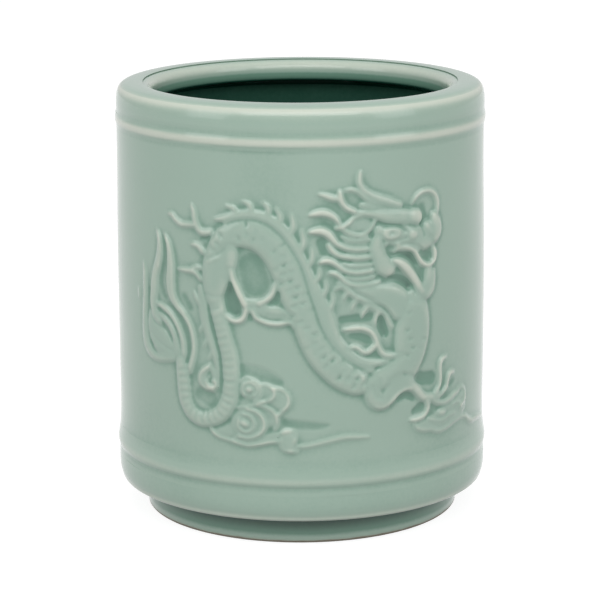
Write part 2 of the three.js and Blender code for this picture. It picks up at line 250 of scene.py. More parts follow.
class TurningTree(ModellingTree):
    """Sweeps a profile of (radius, 0, height) points round the pot's axis, as a wheel does."""

    SEAM = 1e-6

    def __init__(self) -> None:
        """Names the tree's inputs."""
        super().__init__("turn on the wheel", {"Sides": "NodeSocketInt", "Points": "NodeSocketInt"})

    def wire(self) -> Socket:
        """Lays a grid over the turned surface, takes its points from the profile, and joins the seam.

        Returns:
            The finished geometry's socket.
        """
        w, source = self.wiring, self.source
        around = w.math("ADD", source["Sides"], 1)
        grid = w.add("GeometryNodeMeshGrid", {"Vertices X": source["Points"], "Vertices Y": around})
        index = w.add("GeometryNodeInputIndex").outputs[0]
        row = w.math("FLOOR", w.math("DIVIDE", w.math("ADD", index, 0.5), around))
        column = w.math("SUBTRACT", index, w.math("MULTIPLY", row, around))
        angle = w.math("DIVIDE", w.math("MULTIPLY", column, math.tau), source["Sides"])
        place = w.parts(self.sampled(self.position(), row, "FLOAT_VECTOR"))
        turned = w.point(
            X=w.math("MULTIPLY", place["X"], w.math("COSINE", angle)),
            Y=w.math("MULTIPLY", place["X"], w.math("SINE", angle)),
            Z=place["Z"])
        glazed = self.store(grid.outputs["Mesh"], POOL_AND_SHADE, self.sampled(self.stored(POOL_AND_SHADE), row, "FLOAT"))
        placed = w.add("GeometryNodeSetPosition", {"Geometry": glazed, "Position": turned})
        joined = w.add("GeometryNodeMergeByDistance", {"Geometry": placed.outputs[0], "Distance": self.SEAM})
        return joined.outputs[0]

    def sampled(self, value: Socket, row: Socket, data_type: str) -> Socket:
        """Reads a value off the profile.

        Args:
            value: the value's socket.
            row: the number of the profile's point.
            data_type: the value's type.

        Returns:
            The socket of what was read.
        """
        return self.wiring.add(
            "GeometryNodeSampleIndex", {"Geometry": self.source["Geometry"], "Value": value, "Index": row},
            data_type=data_type, domain="POINT").outputs[0]


class WrappingTree(ModellingTree):
    """Rolls a flat sheet of clay, drawn as (along, -height, up), round the pot."""

    def __init__(self) -> None:
        """Names the tree's inputs."""
        super().__init__("roll round the wall", {"Radius": "NodeSocketFloat"})

    def wire(self) -> Socket:
        """Turns the distance along the sheet into an angle round the axis.

        Returns:
            The finished geometry's socket.
        """
        w, source = self.wiring, self.source
        flat = w.parts(self.position())
        angle = w.math("DIVIDE", flat["X"], source["Radius"])
        reach = w.math("SUBTRACT", source["Radius"], flat["Y"])
        rolled = w.point(
            X=w.math("MULTIPLY", reach, w.math("SINE", angle)),
            Y=w.math("MULTIPLY", reach, w.math("MULTIPLY", w.math("COSINE", angle), -1)),
            Z=flat["Z"])
        placed = w.add("GeometryNodeSetPosition", {"Geometry": source["Geometry"], "Position": rolled})
        return placed.outputs[0]


def plain_mesh(name: str, points: np.ndarray, faces: Sequence[np.ndarray], pool: np.ndarray | None = None
               ) -> bpy.types.Mesh:
    """Makes a mesh from arrays.

    Args:
        name: the mesh's name.
        points: corner points, one a row.
        faces: arrays of corner numbers, one array for each number of corners.
        pool: how deep the glaze lies at each point, painted shade included where it is laid as depth.

    Returns:
        The mesh, smooth shaded.
    """
    mesh = bpy.data.meshes.new(name)
    mesh.vertices.add(len(points))
    mesh.vertices.foreach_set("co", np.ascontiguousarray(points, np.float32).ravel())
    corners = np.concatenate([f.ravel() for f in faces]).astype(np.int32)
    sizes = np.concatenate([np.full(len(f), f.shape[1], np.int32) for f in faces])
    mesh.loops.add(len(corners))
    mesh.loops.foreach_set("vertex_index", corners)
    mesh.polygons.add(len(sizes))
    starts = np.concatenate([[0], np.cumsum(sizes)[:-1]])
    mesh.polygons.foreach_set("loop_start", starts.astype(np.int32))
    mesh.polygons.foreach_set("use_smooth", np.ones(len(sizes), bool))
    if pool is not None:
        mesh.attributes.new(POOL_AND_SHADE, "FLOAT", "POINT").data.foreach_set("value", pool.astype(np.float32))
    mesh.update(calc_edges=True)
    return mesh


def settle(mesh: bpy.types.Mesh, node: str) -> bpy.types.Object:
    """Puts a finished mesh in the scene in the place of a CAD node.

    Args:
        mesh: the finished mesh, in the frame's own place.
        node: the CAD node it stands for.

    Returns:
        The new object.
    """
    mesh.name = f"{node}_glazed"
    piece = bpy.data.objects.new(mesh.name, mesh)
    bpy.context.scene.collection.objects.link(piece)
    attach(piece, "root")
    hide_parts(node)
    LOG.info("%s: %d faces", piece.name, len(mesh.polygons))
    return piece


def colour(red: int, green: int, blue: int) -> tuple[float, float, float, float]:
    """Turns a screen colour of 0 to 255 into a linear one.

    Args:
        red: red part.
        green: green part.
        blue: blue part.

    Returns:
        Linear red, green, blue and an alpha of 1.
    """
    parts = [c / 255 for c in (red, green, blue)]
    return (*[c / 12.92 if c <= 0.04045 else ((c + 0.055) / 1.055) ** 2.4 for c in parts], 1.0)


@dataclass(frozen=True)
class CeladonGlaze:
    """Grey-green glaze: pale where it is drawn thin over an edge, deep green where it pools, and near black
    where its depth carries painted shade.
    """

    thin: tuple[float, ...] = colour(206, 214, 200)
    even: tuple[float, ...] = colour(161, 186, 171)
    deep: tuple[float, ...] = colour(112, 150, 132)
    # The near-black end is partly deep pooled glaze and partly painted shade, laid in the bore, under the lip
    # and under the base band.
    pooled_and_shaded: tuple[float, ...] = colour(4, 58, 45)
    thin_at: float = -0.4
    deep_at: float = 0.24
    pooled_and_shaded_at: float = 1.0
    roughness: float = 0.13
    index: float = 1.5
    mottle: float = 0.1
    cloud_scale: float = 45.0
    speck_scale: float = 900.0
    speck_share: float = 0.7
    orange_peel: float = 0.035
    peel_depth: float = 0.4
    fine_scale: float = 700.0
    slow_scale: float = 160.0
    slow_share: float = 2.0

    def colour_of(self, w: Wiring, place: Socket) -> Socket:
        """Wires the glaze's colour from its depth, which in places also carries painted shade.

        Args:
            w: the material's wiring.
            place: object coordinates.

        Returns:
            The colour's socket.
        """
        # This depth also holds painted shade in the bore, under the lip, under the base band and on the upper
        # foot.
        depth = w.add("ShaderNodeAttribute", attribute_name=POOL_AND_SHADE).outputs["Fac"]
        cloud = w.noise(place, self.cloud_scale, 5.0, 0.55)
        speck = w.noise(place, self.speck_scale, 3.0, 0.6)
        uneven = w.math("ADD", w.math("SUBTRACT", cloud, 0.5),
                        w.math("MULTIPLY", w.math("SUBTRACT", speck, 0.5), self.speck_share))
        varied = w.math("ADD", depth, w.math("MULTIPLY", uneven, self.mottle))
        span = self.pooled_and_shaded_at - self.thin_at
        share = w.remap(varied, From_Min=self.thin_at, From_Max=self.pooled_and_shaded_at)
        ramp = w.add("ShaderNodeValToRGB", {0: share})
        stops = ramp.color_ramp.elements
        stops[0].color = self.thin
        stops[1].color = self.pooled_and_shaded
        for at, shade in ((0.0, self.even), (self.deep_at, self.deep)):
            stops.new((at - self.thin_at) / span).color = shade
        ramp.color_ramp.interpolation = "EASE"
        return ramp.outputs[0]

    def normal_of(self, w: Wiring, place: Socket) -> Socket:
        """Wires the slight waviness of a fired glaze.

        Args:
            w: the material's wiring.
            place: object coordinates.

        Returns:
            The normal's socket.
        """
        fine, slow = (w.noise(place, scale, 2.0) for scale in (self.fine_scale, self.slow_scale))
        height = w.math("ADD", fine, w.math("MULTIPLY", slow, self.slow_share))
        return w.add("ShaderNodeBump", {
            "Height": height, "Strength": self.orange_peel, "Distance": self.peel_depth * MM}).outputs[0]

    def material(self, name: str) -> bpy.types.Material:
        """Makes the glaze.

        Args:
            name: the material's name.

        Returns:
            The material.
        """
        made = bpy.data.materials.new(name)
        made.use_nodes = True
        w = Wiring(made.node_tree)
        shader = made.node_tree.nodes["Principled BSDF"]
        place = w.add("ShaderNodeTexCoord").outputs["Object"]
        made.node_tree.links.new(self.colour_of(w, place), shader.inputs["Base Color"])
        made.node_tree.links.new(self.normal_of(w, place), shader.inputs["Normal"])
        shader.inputs["Roughness"].default_value = self.roughness
        shader.inputs["IOR"].default_value = self.index
        self.finish(w, shader, place)
        return made

    def finish(self, w: Wiring, shader: bpy.types.Node, place: Socket) -> None:
        """Leaves the glaze as it is; a sub-class lays something else over it."""


@dataclass(frozen=True)
class FootFinish(CeladonGlaze):
    """The glaze on the foot, wiped off its lowest edge down to the bare buff clay."""

    thin: tuple[float, ...] = colour(158, 158, 144)
    clay: tuple[float, ...] = colour(134, 128, 114)
    burnt: tuple[float, ...] = colour(118, 104, 86)
    burnt_from: float = 0.55
    burnt_to: float = 0.75
    glaze_line: float = 0.9
    wander: float = 0.3
    wander_scale: float = 220.0
    feather: tuple[float, float] = (-0.1, 0.15)
    grain_scale: float = 1400.0
    clay_roughness: float = 0.82

    def finish(self, w: Wiring, shader: bpy.types.Node, place: Socket) -> None:
        """Lays bare clay below the glaze line.

        Args:
            w: the material's wiring.
            shader: the glaze's shader.
            place: object coordinates.
        """
        ragged = w.math("SUBTRACT", w.noise(place, self.wander_scale, 4.0), 0.5)
        line = w.math("ADD", self.glaze_line * MM, w.math("MULTIPLY", ragged, 2 * self.wander * MM))
        low, high = self.feather
        above = w.math("SUBTRACT", w.parts(place)["Z"], line)
        glazed = w.remap(above, From_Min=low * MM, From_Max=high * MM)
        grain = w.noise(place, self.grain_scale, 4.0)
        scorch = w.remap(grain, From_Min=self.burnt_from, From_Max=self.burnt_to)
        clay = w.add("ShaderNodeMix", {"Factor": scorch, 6: self.clay, 7: self.burnt}, data_type="RGBA")
        glaze = shader.inputs["Base Color"].links[0].from_socket
        both = w.add("ShaderNodeMix", {"Factor": glazed, 6: clay.outputs[2], 7: glaze}, data_type="RGBA")
        rough = w.remap(glazed, To_Min=self.clay_roughness, To_Max=self.roughness)
        w.tree.links.new(both.outputs[2], shader.inputs["Base Color"])
        w.tree.links.new(rough, shader.inputs["Roughness"])


class Form(Enum):
    """How the back of a stroke of clay is shaped across its width."""

    ROLL = "half round"
    PAD = "flat with round shoulders"


class Act(Enum):
    """What a stroke does to the clay already there."""

    LAY = "stands on the wall, and the higher clay wins"
    ADD = "builds up what it lies on"
    CUT = "scores into it"


@dataclass(frozen=True)
class Stroke:
    """One stroke of the modelling tool, with its rise and its shoulder in mm.

    The path is a list of points: how far along the wall, how far up, and half the stroke's width.
    """

    rise: float
    path: tuple[Point, ...]
    form: Form = Form.ROLL
    act: Act = Act.LAY
    shoulder: float = 1.4
    thinnest: float = 0.12

    def samples(self, steps: int = 5) -> np.ndarray:
        """Rounds the path off.

        Args:
            steps: points made for each given one.

        Returns:
            The smooth path's points, one a row.
        """
        p = np.array(self.path, float)
        ends = np.vstack([2 * p[0] - p[1], p, 2 * p[-1] - p[-2]])
        t = np.linspace(0, 1, steps, endpoint=False)[:, None]
        spans = [
            (2 * b + (c - a) * t + (2 * a - 5 * b + 4 * c - d) * t**2 + (3 * b - a - 3 * c + d) * t**3) / 2
            for a, b, c, d in zip(ends, ends[1:], ends[2:], ends[3:])
        ]
        curve = np.vstack([*spans, p[-1:]])
        curve[:, 2] = np.maximum(curve[:, 2], self.thinnest)
        return curve


def roll(rise: float, *path: Point) -> Stroke:
    """A half-round roll of clay."""
    return Stroke(rise, path)


def pad(rise: float, *path: Point, shoulder: float = 1.4) -> Stroke:
    """A flat pad of clay with round shoulders."""
    return Stroke(rise, path, Form.PAD, shoulder=shoulder)


def ridge(rise: float, *path: Point) -> Stroke:
    """A ridge drawn up out of the clay below it."""
    return Stroke(rise, path, Form.ROLL, Act.ADD)


def cut(depth: float, *path: Point) -> Stroke:
    """A scored line."""
    return Stroke(depth, path, Form.ROLL, Act.CUT)


def hollow(depth: float, *path: Point, shoulder: float = 1.0) -> Stroke:
    """A hollow pressed into the clay."""
    return Stroke(depth, path, Form.PAD, Act.CUT, shoulder)


def line(half: float, *points: tuple[float, float]) -> tuple[Point, ...]:
    """Gives each of a line's points the same half width."""
    return tuple((along, up, half) for along, up in points)


def softened(values: np.ndarray, spread: float, step: float) -> np.ndarray:
    """Blurs a grid of values, as a thick glaze does to the clay under it.

    Args:
        values: the grid.
        spread: the Gaussian's spread in mm.
        step: the grid's step in mm.

    Returns:
        The blurred grid, the same size.
    """
    reach = max(1, int(3 * spread / step))
    weights = np.exp(-0.5 * (np.arange(-reach, reach + 1) * step / spread) ** 2)
    weights /= weights.sum()
    out = values
    for axis in (0, 1):
        room = [(0, 0), (0, 0)]
        room[axis] = (reach, reach)
        wide = np.pad(out, room, mode="edge" if axis == 0 else "wrap")
        count = values.shape[axis]
        out = sum(k * np.take(wide, np.arange(i, i + count), axis) for i, k in enumerate(weights))
    return out


class Clay:
    """The clay raised on the wall, as a height over every point of a grid laid on it, in mm."""

    END_HEIGHT = 0.35
    MOAT_WIDTH = 0.7
    MOAT_SHARE = 0.6

    def __init__(self, along: np.ndarray, up: np.ndarray) -> None:
        """Starts with a bare wall.

        Args:
            along: the grid's places round the wall.
            up: the grid's places up the wall.
        """
        self.along, self.up = along, up
        self.height = np.zeros((len(up), len(along)))
        self.owner = np.zeros(self.height.shape, int)
        self.names = ["wall"]

    def under(self, curve: np.ndarray, margin: float = 1.0) -> tuple[slice, slice]:
        """The part of the grid that a stroke can reach.

        Args:
            curve: the stroke's points.
            margin: how much further than its edge.

        Returns:
            The grid's rows and columns.
        """
        reach = curve[:, 2].max() + margin
        low, high = curve.min(0) - reach, curve.max(0) + reach
        columns = np.searchsorted(self.along, (low[0], high[0]))
        rows = np.searchsorted(self.up, (low[1], high[1]))
        return slice(*rows), slice(*columns)

    def measure(self, curve: np.ndarray, window: tuple[slice, slice]) -> tuple[np.ndarray, np.ndarray]:
        """Measures how far points lie from a stroke.

        Args:
            curve: the stroke's points.
            window: the grid's rows and columns.

        Returns:
            The gap to the stroke's edge, less than nothing inside it, and the share of its half width.
        """
        x, y = self.along[window[1]][None, :], self.up[window[0]][:, None]
        gap = np.full((y.size, x.size), np.inf)
        share = gap.copy()
        for (ax, ay, aw), (bx, by, bw) in zip(curve, curve[1:]):
            dx, dy = bx - ax, by - ay
            t = np.clip(((x - ax) * dx + (y - ay) * dy) / max(dx * dx + dy * dy, 1e-9), 0, 1)
            far = np.hypot(x - ax - t * dx, y - ay - t * dy)
            half = aw + t * (bw - aw)
            gap = np.minimum(gap, far - half)
            share = np.minimum(share, far / half)
        return gap, share

    def shaped(self, stroke: Stroke, gap: np.ndarray, share: np.ndarray, widest: float) -> np.ndarray:
        """Works out a stroke's own height; its thin ends are lower.

        Args:
            stroke: the stroke.
            gap: the gap to its edge at each point.
            share: the share of its half width at each point.
            widest: its greatest half width.

        Returns:
            Its height at each point.
        """
        if stroke.form is Form.PAD:
            inward = np.clip(-gap / stroke.shoulder, 0, 1)
            return stroke.rise * np.sqrt(np.clip(1 - (1 - inward) ** 2, 0, None))
        half = np.clip(-gap / np.clip(1 - share, 1e-3, None), 0, widest)
        back = np.sqrt(np.clip(1 - share**2, 0, None))
        return stroke.rise * back * (self.END_HEIGHT + (1 - self.END_HEIGHT) * np.sqrt(half / widest))

    def model(self, name: str, *strokes: Stroke, moat: float = 0.25) -> None:
        """Models one piece of the relief over what is already there.

        Args:
            name: the piece's name; "wall" works on the wall itself.
            strokes: its strokes, in the order they are made.
            moat: how far the clay beside it may be pressed down, in mm.
        """
        if name not in self.names:
            self.names.append(name)
        mine = self.names.index(name)
        made = []
        for stroke in strokes:
            curve = stroke.samples()
            window = self.under(curve)
            made.append((stroke, window, curve[:, 2].max(), *self.measure(curve, window)))
        near = np.full(self.height.shape, np.inf)
        for stroke, window, _, gap, _ in made:
            if stroke.act is Act.LAY:
                near[window] = np.minimum(near[window], gap)
        ditch = np.clip(1 - np.clip(near, 0, None) / self.MOAT_WIDTH, 0, 1) ** 2
        self.height -= ditch * np.clip(self.height * self.MOAT_SHARE, 0, moat)
        for stroke, window, widest, gap, share in made:
            body = self.shaped(stroke, gap, share, widest)
            height, owner = self.height[window], self.owner[window]
            if stroke.act is Act.LAY:
                owner[(body > height) & (gap < 0)] = mine
                np.maximum(height, np.where(gap < 0, body, height), out=height)
            elif stroke.act is Act.ADD:
                owner[gap < 0] = mine
                height += body
            else:
                height -= body


class MarkingTree(ModellingTree):
    """Lays rows of small bowed marks across a path, as a tool pressed along a body leaves them."""

    GOUGE = 0.4
    FAINTEST = 0.1
    POINTS = 4
    STEPS = 8

    def __init__(self) -> None:
        """Names the tree's inputs."""
        floats = ("Spacing", "Pitch", "Reach", "Bow", "Side", "Margin", "Shallow", "Depth")
        super().__init__("rows of marks along a path", {
            **{name: "NodeSocketFloat" for name in floats}, "Rows": "NodeSocketInt", "Seed": "NodeSocketInt"})

    def row(self) -> Socket:
        """Wires one row of marks, set square across the path.

        Returns:
            The row's socket.
        """
        w, source = self.wiring, self.source
        back = w.math("MULTIPLY", source["Bow"], -0.5)
        start = w.point(X=back, Y=w.math("MULTIPLY", source["Reach"], -1))
        bowed = w.add("GeometryNodeCurveQuadraticBezier", {
            "Resolution": self.POINTS - 1, "Start": start, "Middle": w.point(X=source["Bow"]),
            "End": w.point(X=back, Y=source["Reach"])})
        mark = w.add("GeometryNodeCurveToMesh", {"Curve": bowed.outputs[0]}).outputs[0]
        width = w.math("MULTIPLY", w.math("SUBTRACT", source["Rows"], 1), source["Pitch"])
        first = w.math("ADD", w.math("MULTIPLY", width, -0.5), source["Side"])
        places = w.add("GeometryNodeMeshLine", {
            "Count": source["Rows"], "Start Location": w.point(Y=first),
            "Offset": w.point(Y=source["Pitch"])})
        marked = self.store(places.outputs[0], "across", w.parts(self.position())["Y"])
        row = w.add("GeometryNodeInstanceOnPoints", {"Points": marked, "Instance": mark})
        return w.add("GeometryNodeRealizeInstances", {0: row.outputs[0]}).outputs[0]

    def wire(self) -> Socket:
        """Sets a row at each station of the path, shifts every other one, and keeps what lies on the body.

        Returns:
            The finished geometry's socket.
        """
        w, source = self.wiring, self.source
        curve = w.add("GeometryNodeMeshToCurve", {0: source["Geometry"]}).outputs[0]
        stations = w.add(
            "GeometryNodeCurveToPoints", {"Curve": curve, "Length": source["Spacing"]}, mode="LENGTH").outputs
        facing = w.add(
            "FunctionNodeAlignRotationToVector", {"Vector": stations["Tangent"]}, axis="X", pivot_axis="Z")
        rows = w.add("GeometryNodeInstanceOnPoints", {
            "Points": stations["Points"], "Instance": self.row(), "Rotation": facing.outputs[0]}).outputs[0]
        odd = w.math("MODULO", w.add("GeometryNodeInputIndex").outputs[0], 2)
        shift = w.math("MULTIPLY", w.math("MULTIPLY", odd, source["Pitch"]), 0.5)
        shift = w.math("MULTIPLY", shift, w.math("GREATER_THAN", source["Rows"], 1))
        noted = self.store(rows, "shift", shift, "INSTANCE")
        moved = w.add("GeometryNodeTranslateInstances", {
            0: noted, "Translation": w.point(Y=self.stored("shift"))})
        real = w.add("GeometryNodeRealizeInstances", {0: moved.outputs[0]}).outputs[0]
        place = w.math("ABSOLUTE", w.math("ADD", self.stored("across"), self.stored("shift")))
        room = w.math("SUBTRACT", self.stored("half"), source["Margin"])
        kept = w.add("GeometryNodeDeleteGeometry", {
            0: real, "Selection": w.math("GREATER_THAN", place, room)})
        index = w.add("GeometryNodeInputIndex").outputs[0]
        number = w.math("FLOOR", w.math("DIVIDE", index, self.POINTS))
        depth = w.add("FunctionNodeRandomValue", {
            2: source["Shallow"], 3: source["Depth"], "ID": number, "Seed": source["Seed"]},
            data_type="FLOAT")
        return self.store(kept.outputs[0], "depth", depth.outputs[1])

    def strokes(self, path: tuple[Point, ...], **values: float) -> list[Stroke]:
        """Runs the tree along a path, and makes each mark a scored line.

        Args:
            path: the path's points, with half the body's width at each.
            values: the tree's inputs, in mm.

        Returns:
            The scored lines.
        """
        curve = Stroke(1, path).samples(self.STEPS)
        mesh = bpy.data.meshes.new("path")
        flat = np.column_stack([curve[:, :2], np.zeros(len(curve))])
        mesh.from_pydata(flat.tolist(), [(i, i + 1) for i in range(len(flat) - 1)], [])
        mesh.attributes.new("half", "FLOAT", "POINT").data.foreach_set("value", curve[:, 2])
        made = self.run(mesh, **values)
        places = np.array([tuple(v.co) for v in made.vertices]).reshape(-1, self.POINTS, 3)
        depths = [d.value for d in made.attributes["depth"].data][::self.POINTS]
        bpy.data.meshes.remove(made)
        return [
            cut(depth, *line(self.GOUGE, *mark[:, :2].tolist()))
            for mark, depth in zip(places, depths) if depth > self.FAINTEST
        ]


@dataclass
class Dragon:
    """The dragon and its clouds, modelled on the wall piece by piece, furthest back first."""

    clay: Clay
    marks: MarkingTree
    body_path: tuple[Point, ...] = ((-21.6, 80.6, 2.6), (-19.4, 82.4, 3.2), (-15.8, 83.5, 3.6),
        (-11.8, 83.4, 3.9), (-8.6, 81.6, 3.9), (-6, 78.8, 3.9), (-4, 75.4, 4), (-2.6, 71.6, 4),
        (-1.3, 67.6, 3.8), (0.2, 63.4, 3.6), (1.4, 60, 3.4), (2.9, 56.6, 3.6), (5, 53, 3.9), (7.6, 49.9, 4),
        (10.6, 47.2, 4), (13.8, 45.2, 3.6), (16, 44.6, 3))
    chest_path: tuple[Point, ...] = ((31.2, 66, 3.2), (31, 62, 4.6), (30.6, 58, 5.4), (30.1, 54, 5.4),
        (29.2, 50, 4.8), (26.6, 46.4, 4))
    tail_path: tuple[Point, ...] = ((-23, 69.4, 2.2), (-22.4, 66, 2.35), (-21.9, 63.4, 2.35),
        (-20.9, 60, 2.3), (-19.9, 56, 2.35), (-18.7, 52, 2.45), (-18.3, 48, 2.45), (-18.2, 44, 2.45),
        (-18.6, 40.6, 2.45), (-20.1, 37.4, 2.4), (-22.4, 35.3, 2.3), (-25.2, 34.2, 2.15),
        (-27.8, 34.2, 2.1), (-30.2, 35.6, 2.15), (-31.8, 38.2, 2.2), (-32.4, 41.6, 2.25), (-32.7, 45, 2.2),
        (-33.2, 48.4, 1.8))
    spines: tuple[tuple[Point, ...], ...] = (
        ((-16.4, 88.8, 0.9), (-17.4, 90, 0.8), (-19.4, 90.5, 0.35)),
        ((-12.4, 89.2, 0.9), (-13, 91, 0.8), (-14.7, 91.9, 0.35)),
        ((-8.2, 88.4, 0.9), (-8.2, 90.4, 0.8), (-9.5, 91.8, 0.35)),
        ((-5.4, 86.4, 0.9), (-5.2, 88.4, 0.8), (-6.3, 90.4, 0.35)),
        ((-2.8, 83.6, 0.9), (-1.9, 86, 0.8), (-2.2, 88.8, 0.35)),
        ((-0.2, 79.6, 0.9), (0.7, 82, 0.8), (0.2, 85, 0.35)),
        ((1.6, 75.4, 0.8), (2.7, 77.4, 0.7), (2.8, 80.2, 0.3)),
        ((3.2, 71.4, 0.8), (4.4, 73, 0.7), (4.7, 75, 0.3)),
        ((5, 67.4, 0.9), (6.2, 69.6, 0.7), (6.2, 71.8, 0.3)),
        ((7.2, 64.6, 0.9), (8, 66.6, 0.6), (7.9, 68.6, 0.3)),
    )
    scale_spacing: float = 2.1
    scale_pitch: float = 2.3
    plate_spacing: float = 1.9

    def model(self) -> None:
        """Models every piece in its turn."""
        for piece in (self.hollows, self.clouds, self.tail, self.hind_leg, self.body, self.front,
                      self.foreleg, self.mane, self.head, self.horns):
            piece()

    def scales(self, path: tuple[Point, ...], margin: float, shallow: float, depth: float, seed: int
               ) -> list[Stroke]:
        """Lays scales along a part of the body, worn away wherever their depth falls under nothing.

        Args:
            path: the part's path.
            margin: how far inside its edges they keep.
            shallow: the least depth.
            depth: the greatest depth.
            seed: the seed of their depths.

        Returns:
            The scored lines.
        """
        return self.marks.strokes(
            path, Spacing=self.scale_spacing, Pitch=self.scale_pitch, Rows=5, Reach=0.5, Bow=0.5,
            Side=0.0, Margin=margin, Shallow=shallow, Depth=depth, Seed=seed)

    def plates(self) -> list[Stroke]:
        """Lays the lines between the plates of the tail's belly.

        Returns:
            The scored lines.
        """
        return self.marks.strokes(
            self.tail_path, Spacing=self.plate_spacing, Pitch=1.0, Rows=1, Reach=1.5, Bow=0.3,
            Side=-0.7, Margin=0.0, Shallow=0.12, Depth=0.34, Seed=9)

    def hollows(self) -> None:
        """Presses the hollows in the wall beside the relief."""
        self.clay.model(
            "wall",
            hollow(0.4, (-12.8, 75.4, 3.4), (-11.6, 71.2, 3.7), shoulder=1.8),
            hollow(0.3, (-27, 40.6, 2.2), (-24.4, 39.6, 2.4)),
            hollow(0.3, (-15.4, 48.6, 1.5), (-11.6, 48, 1.8), (-7.6, 46.6, 1.6), (-5.2, 45.4, 1)),
            hollow(0.3, (-4.4, 34.9, 1.2), (0, 34.2, 1.4), (4, 33.8, 1.2), (6.8, 34, 0.6)),
            hollow(0.9, (-18.8, 70.6, 0.9), (-18.5, 67.6, 1.6), (-17.8, 65, 2.1), (-16.8, 63.4, 1.5)),
            hollow(0.6, (33, 43.8, 1.8), (36.4, 43.2, 2.1), shoulder=1.4),
            hollow(0.5, (26.2, 39.2, 0.8), (28.6, 39.6, 0.9), (30.6, 38.6, 0.7)),
            hollow(0.55, (31, 35.2, 0.9), (33.2, 36.3, 1)),
            hollow(0.3, (44.6, 40, 0.9), (46, 40.6, 0.8)),
            hollow(0.5, (10.4, 61.6, 1), (14, 61.8, 1.1), (18, 61.8, 1)),
            hollow(0.45, (5.6, 79.4, 1.1), (5, 81.4, 1.4)),
            hollow(0.3, (5.8, 86.2, 0.8), (8.2, 85, 0.6)),
            hollow(0.3, (33.6, 88.6, 1.4), (34, 86, 1.2)),
            hollow(0.3, (-39.6, 73, 0.7), (-40.1, 69, 0.9), (-39.6, 66, 1.1), (-38.6, 64.6, 0.8)),
            hollow(0.3, (-32, 66, 1), (-30, 63, 1)),
            moat=0)

    def clouds(self) -> None:
        """Models the clouds that the tail and the lower claw rest on."""
        self.clay.model(
            "cloud_curl",
            roll(0.9, (-24.2, 48.6, 0.7), (-26, 46.8, 1.2), (-26.5, 44.6, 1.3), (-25.2, 43.2, 1.2),
                (-23.2, 43, 1)),
            roll(0.7, (-23.6, 47.6, 0.8), (-22.6, 45.6, 1), (-22.7, 43.6, 1)),
            ridge(0.59, *line(0.4, (-24.8, 48.2), (-27, 46.4), (-27.6, 44.6), (-27, 43.1), (-25.4, 42.2),
                (-23.2, 42))),
            ridge(0.77, *line(0.4, (-24.4, 45.8), (-25.1, 44.4), (-24.6, 43), (-23.3, 42.8), (-22.4, 43.5),
                (-22.7, 44.6), (-23.7, 44.6))))
        self.clay.model(
            "cloud_scrolls",
            pad(0.8, (-15, 43.6, 2.3), (-12.6, 43.1, 2.9)),
            pad(0.75, (-10.4, 42.5, 2.2), (-8.2, 42.3, 2.1)),
            pad(0.65, (-6.6, 41.2, 2.5), (-5.4, 40.4, 2.4)),
            pad(0.85, (-14.6, 34.2, 4), (-12.6, 34.6, 4.4)),
            pad(0.6, (-9.6, 36, 3.1), (-8.2, 36.4, 2.7)),
            pad(0.5, (-16, 39, 1.6), (-13, 39.4, 2), (-9.6, 39.4, 1.8)),
            pad(0.5, (-23, 31.2, 0.9), (-20, 31.6, 1.6), (-17.4, 32.4, 2.4)),
            pad(0.6, (-17, 30, 1.3), (-12, 30, 1.6), (-7, 31, 1.3)),
            ridge(0.94, (-13.5, 43.3, 0.9), (-13, 43.4, 0.9)),
            ridge(0.77, *line(0.4, (-14.6, 41.7), (-15.2, 43.2), (-14.6, 44.7), (-13, 45.2), (-11.6, 44.3),
                (-11.3, 42.8), (-12.2, 41.6))),
            ridge(0.68, *line(0.42, (-15.9, 45.3), (-14.4, 46.2), (-12.4, 46), (-10.9, 44.9), (-10.3, 43.1),
                (-10.8, 41.4), (-12, 40.3))),
            ridge(0.85, *line(0.48, (-10.2, 44.7), (-8.6, 44.6), (-7.2, 43.7), (-6.8, 42.3), (-7.5, 41.1),
                (-9, 40.4), (-11, 40.2))),
            ridge(1.02, *line(0.5, (-6.8, 43.9), (-5, 43.5), (-3.6, 42.3), (-3.1, 40.7), (-3.6, 39.1),
                (-5, 37.7), (-5.8, 36.9))),
            ridge(0.94, (-15, 34.4, 1), (-14.3, 34.1, 1)),
            ridge(0.77, *line(0.4, (-16.2, 35.4), (-16.4, 33.4), (-15, 32.1), (-13.2, 32.3), (-12.2, 33.8),
                (-12.5, 35.5), (-13.7, 36.5), (-15, 36.7))),
            ridge(0.85, *line(0.45, (-14, 38.2), (-11.6, 37.6), (-10, 36.1), (-9.5, 34), (-10.2, 32.1),
                (-12, 30.9), (-14, 30.4), (-16.4, 30.7))),
            ridge(0.77, *line(0.48, (-11.4, 39.3), (-9.2, 38.9), (-7.4, 37.9), (-6.4, 36.3), (-6.2, 34.5),
                (-6.8, 33.1))),
            ridge(0.59, *line(0.4, (-19.6, 38.6), (-17, 38.2), (-14.2, 38.7), (-11.4, 39.6), (-9.4, 40.2))),
            ridge(0.94, *line(0.48, (-24.2, 32), (-23.4, 30.9), (-22, 30), (-18.6, 29.3), (-16, 28.6),
                (-13.6, 28.3), (-11, 28.8), (-8.4, 29.5), (-6.2, 29.7))))
        self.clay.model(
            "cloud_wisp",
            roll(0.75, (-1.6, 28.5, 0.7), (1, 28.6, 0.65), (4, 29.2, 0.7), (8, 30.1, 0.8),
                (11.4, 30.6, 0.8), (15, 30.4, 0.65), (17.8, 30.1, 0.35)))
        self.clay.model(
            "cloud_knot",
            pad(0.9, (-3.8, 31.5, 1.8), (-3.3, 29.8, 2.1), (-2.9, 28.3, 1.4)),
            ridge(0.6, *line(0.45, (-6.2, 31.6), (-4.6, 32.5), (-2.3, 32.7), (-1.4, 31.6), (-1.7, 29.8))),
            ridge(0.68, *line(0.5, (-5.5, 30.4), (-5.4, 28.8), (-4.6, 27.6), (-3, 27.1), (-1.2, 27.3))))
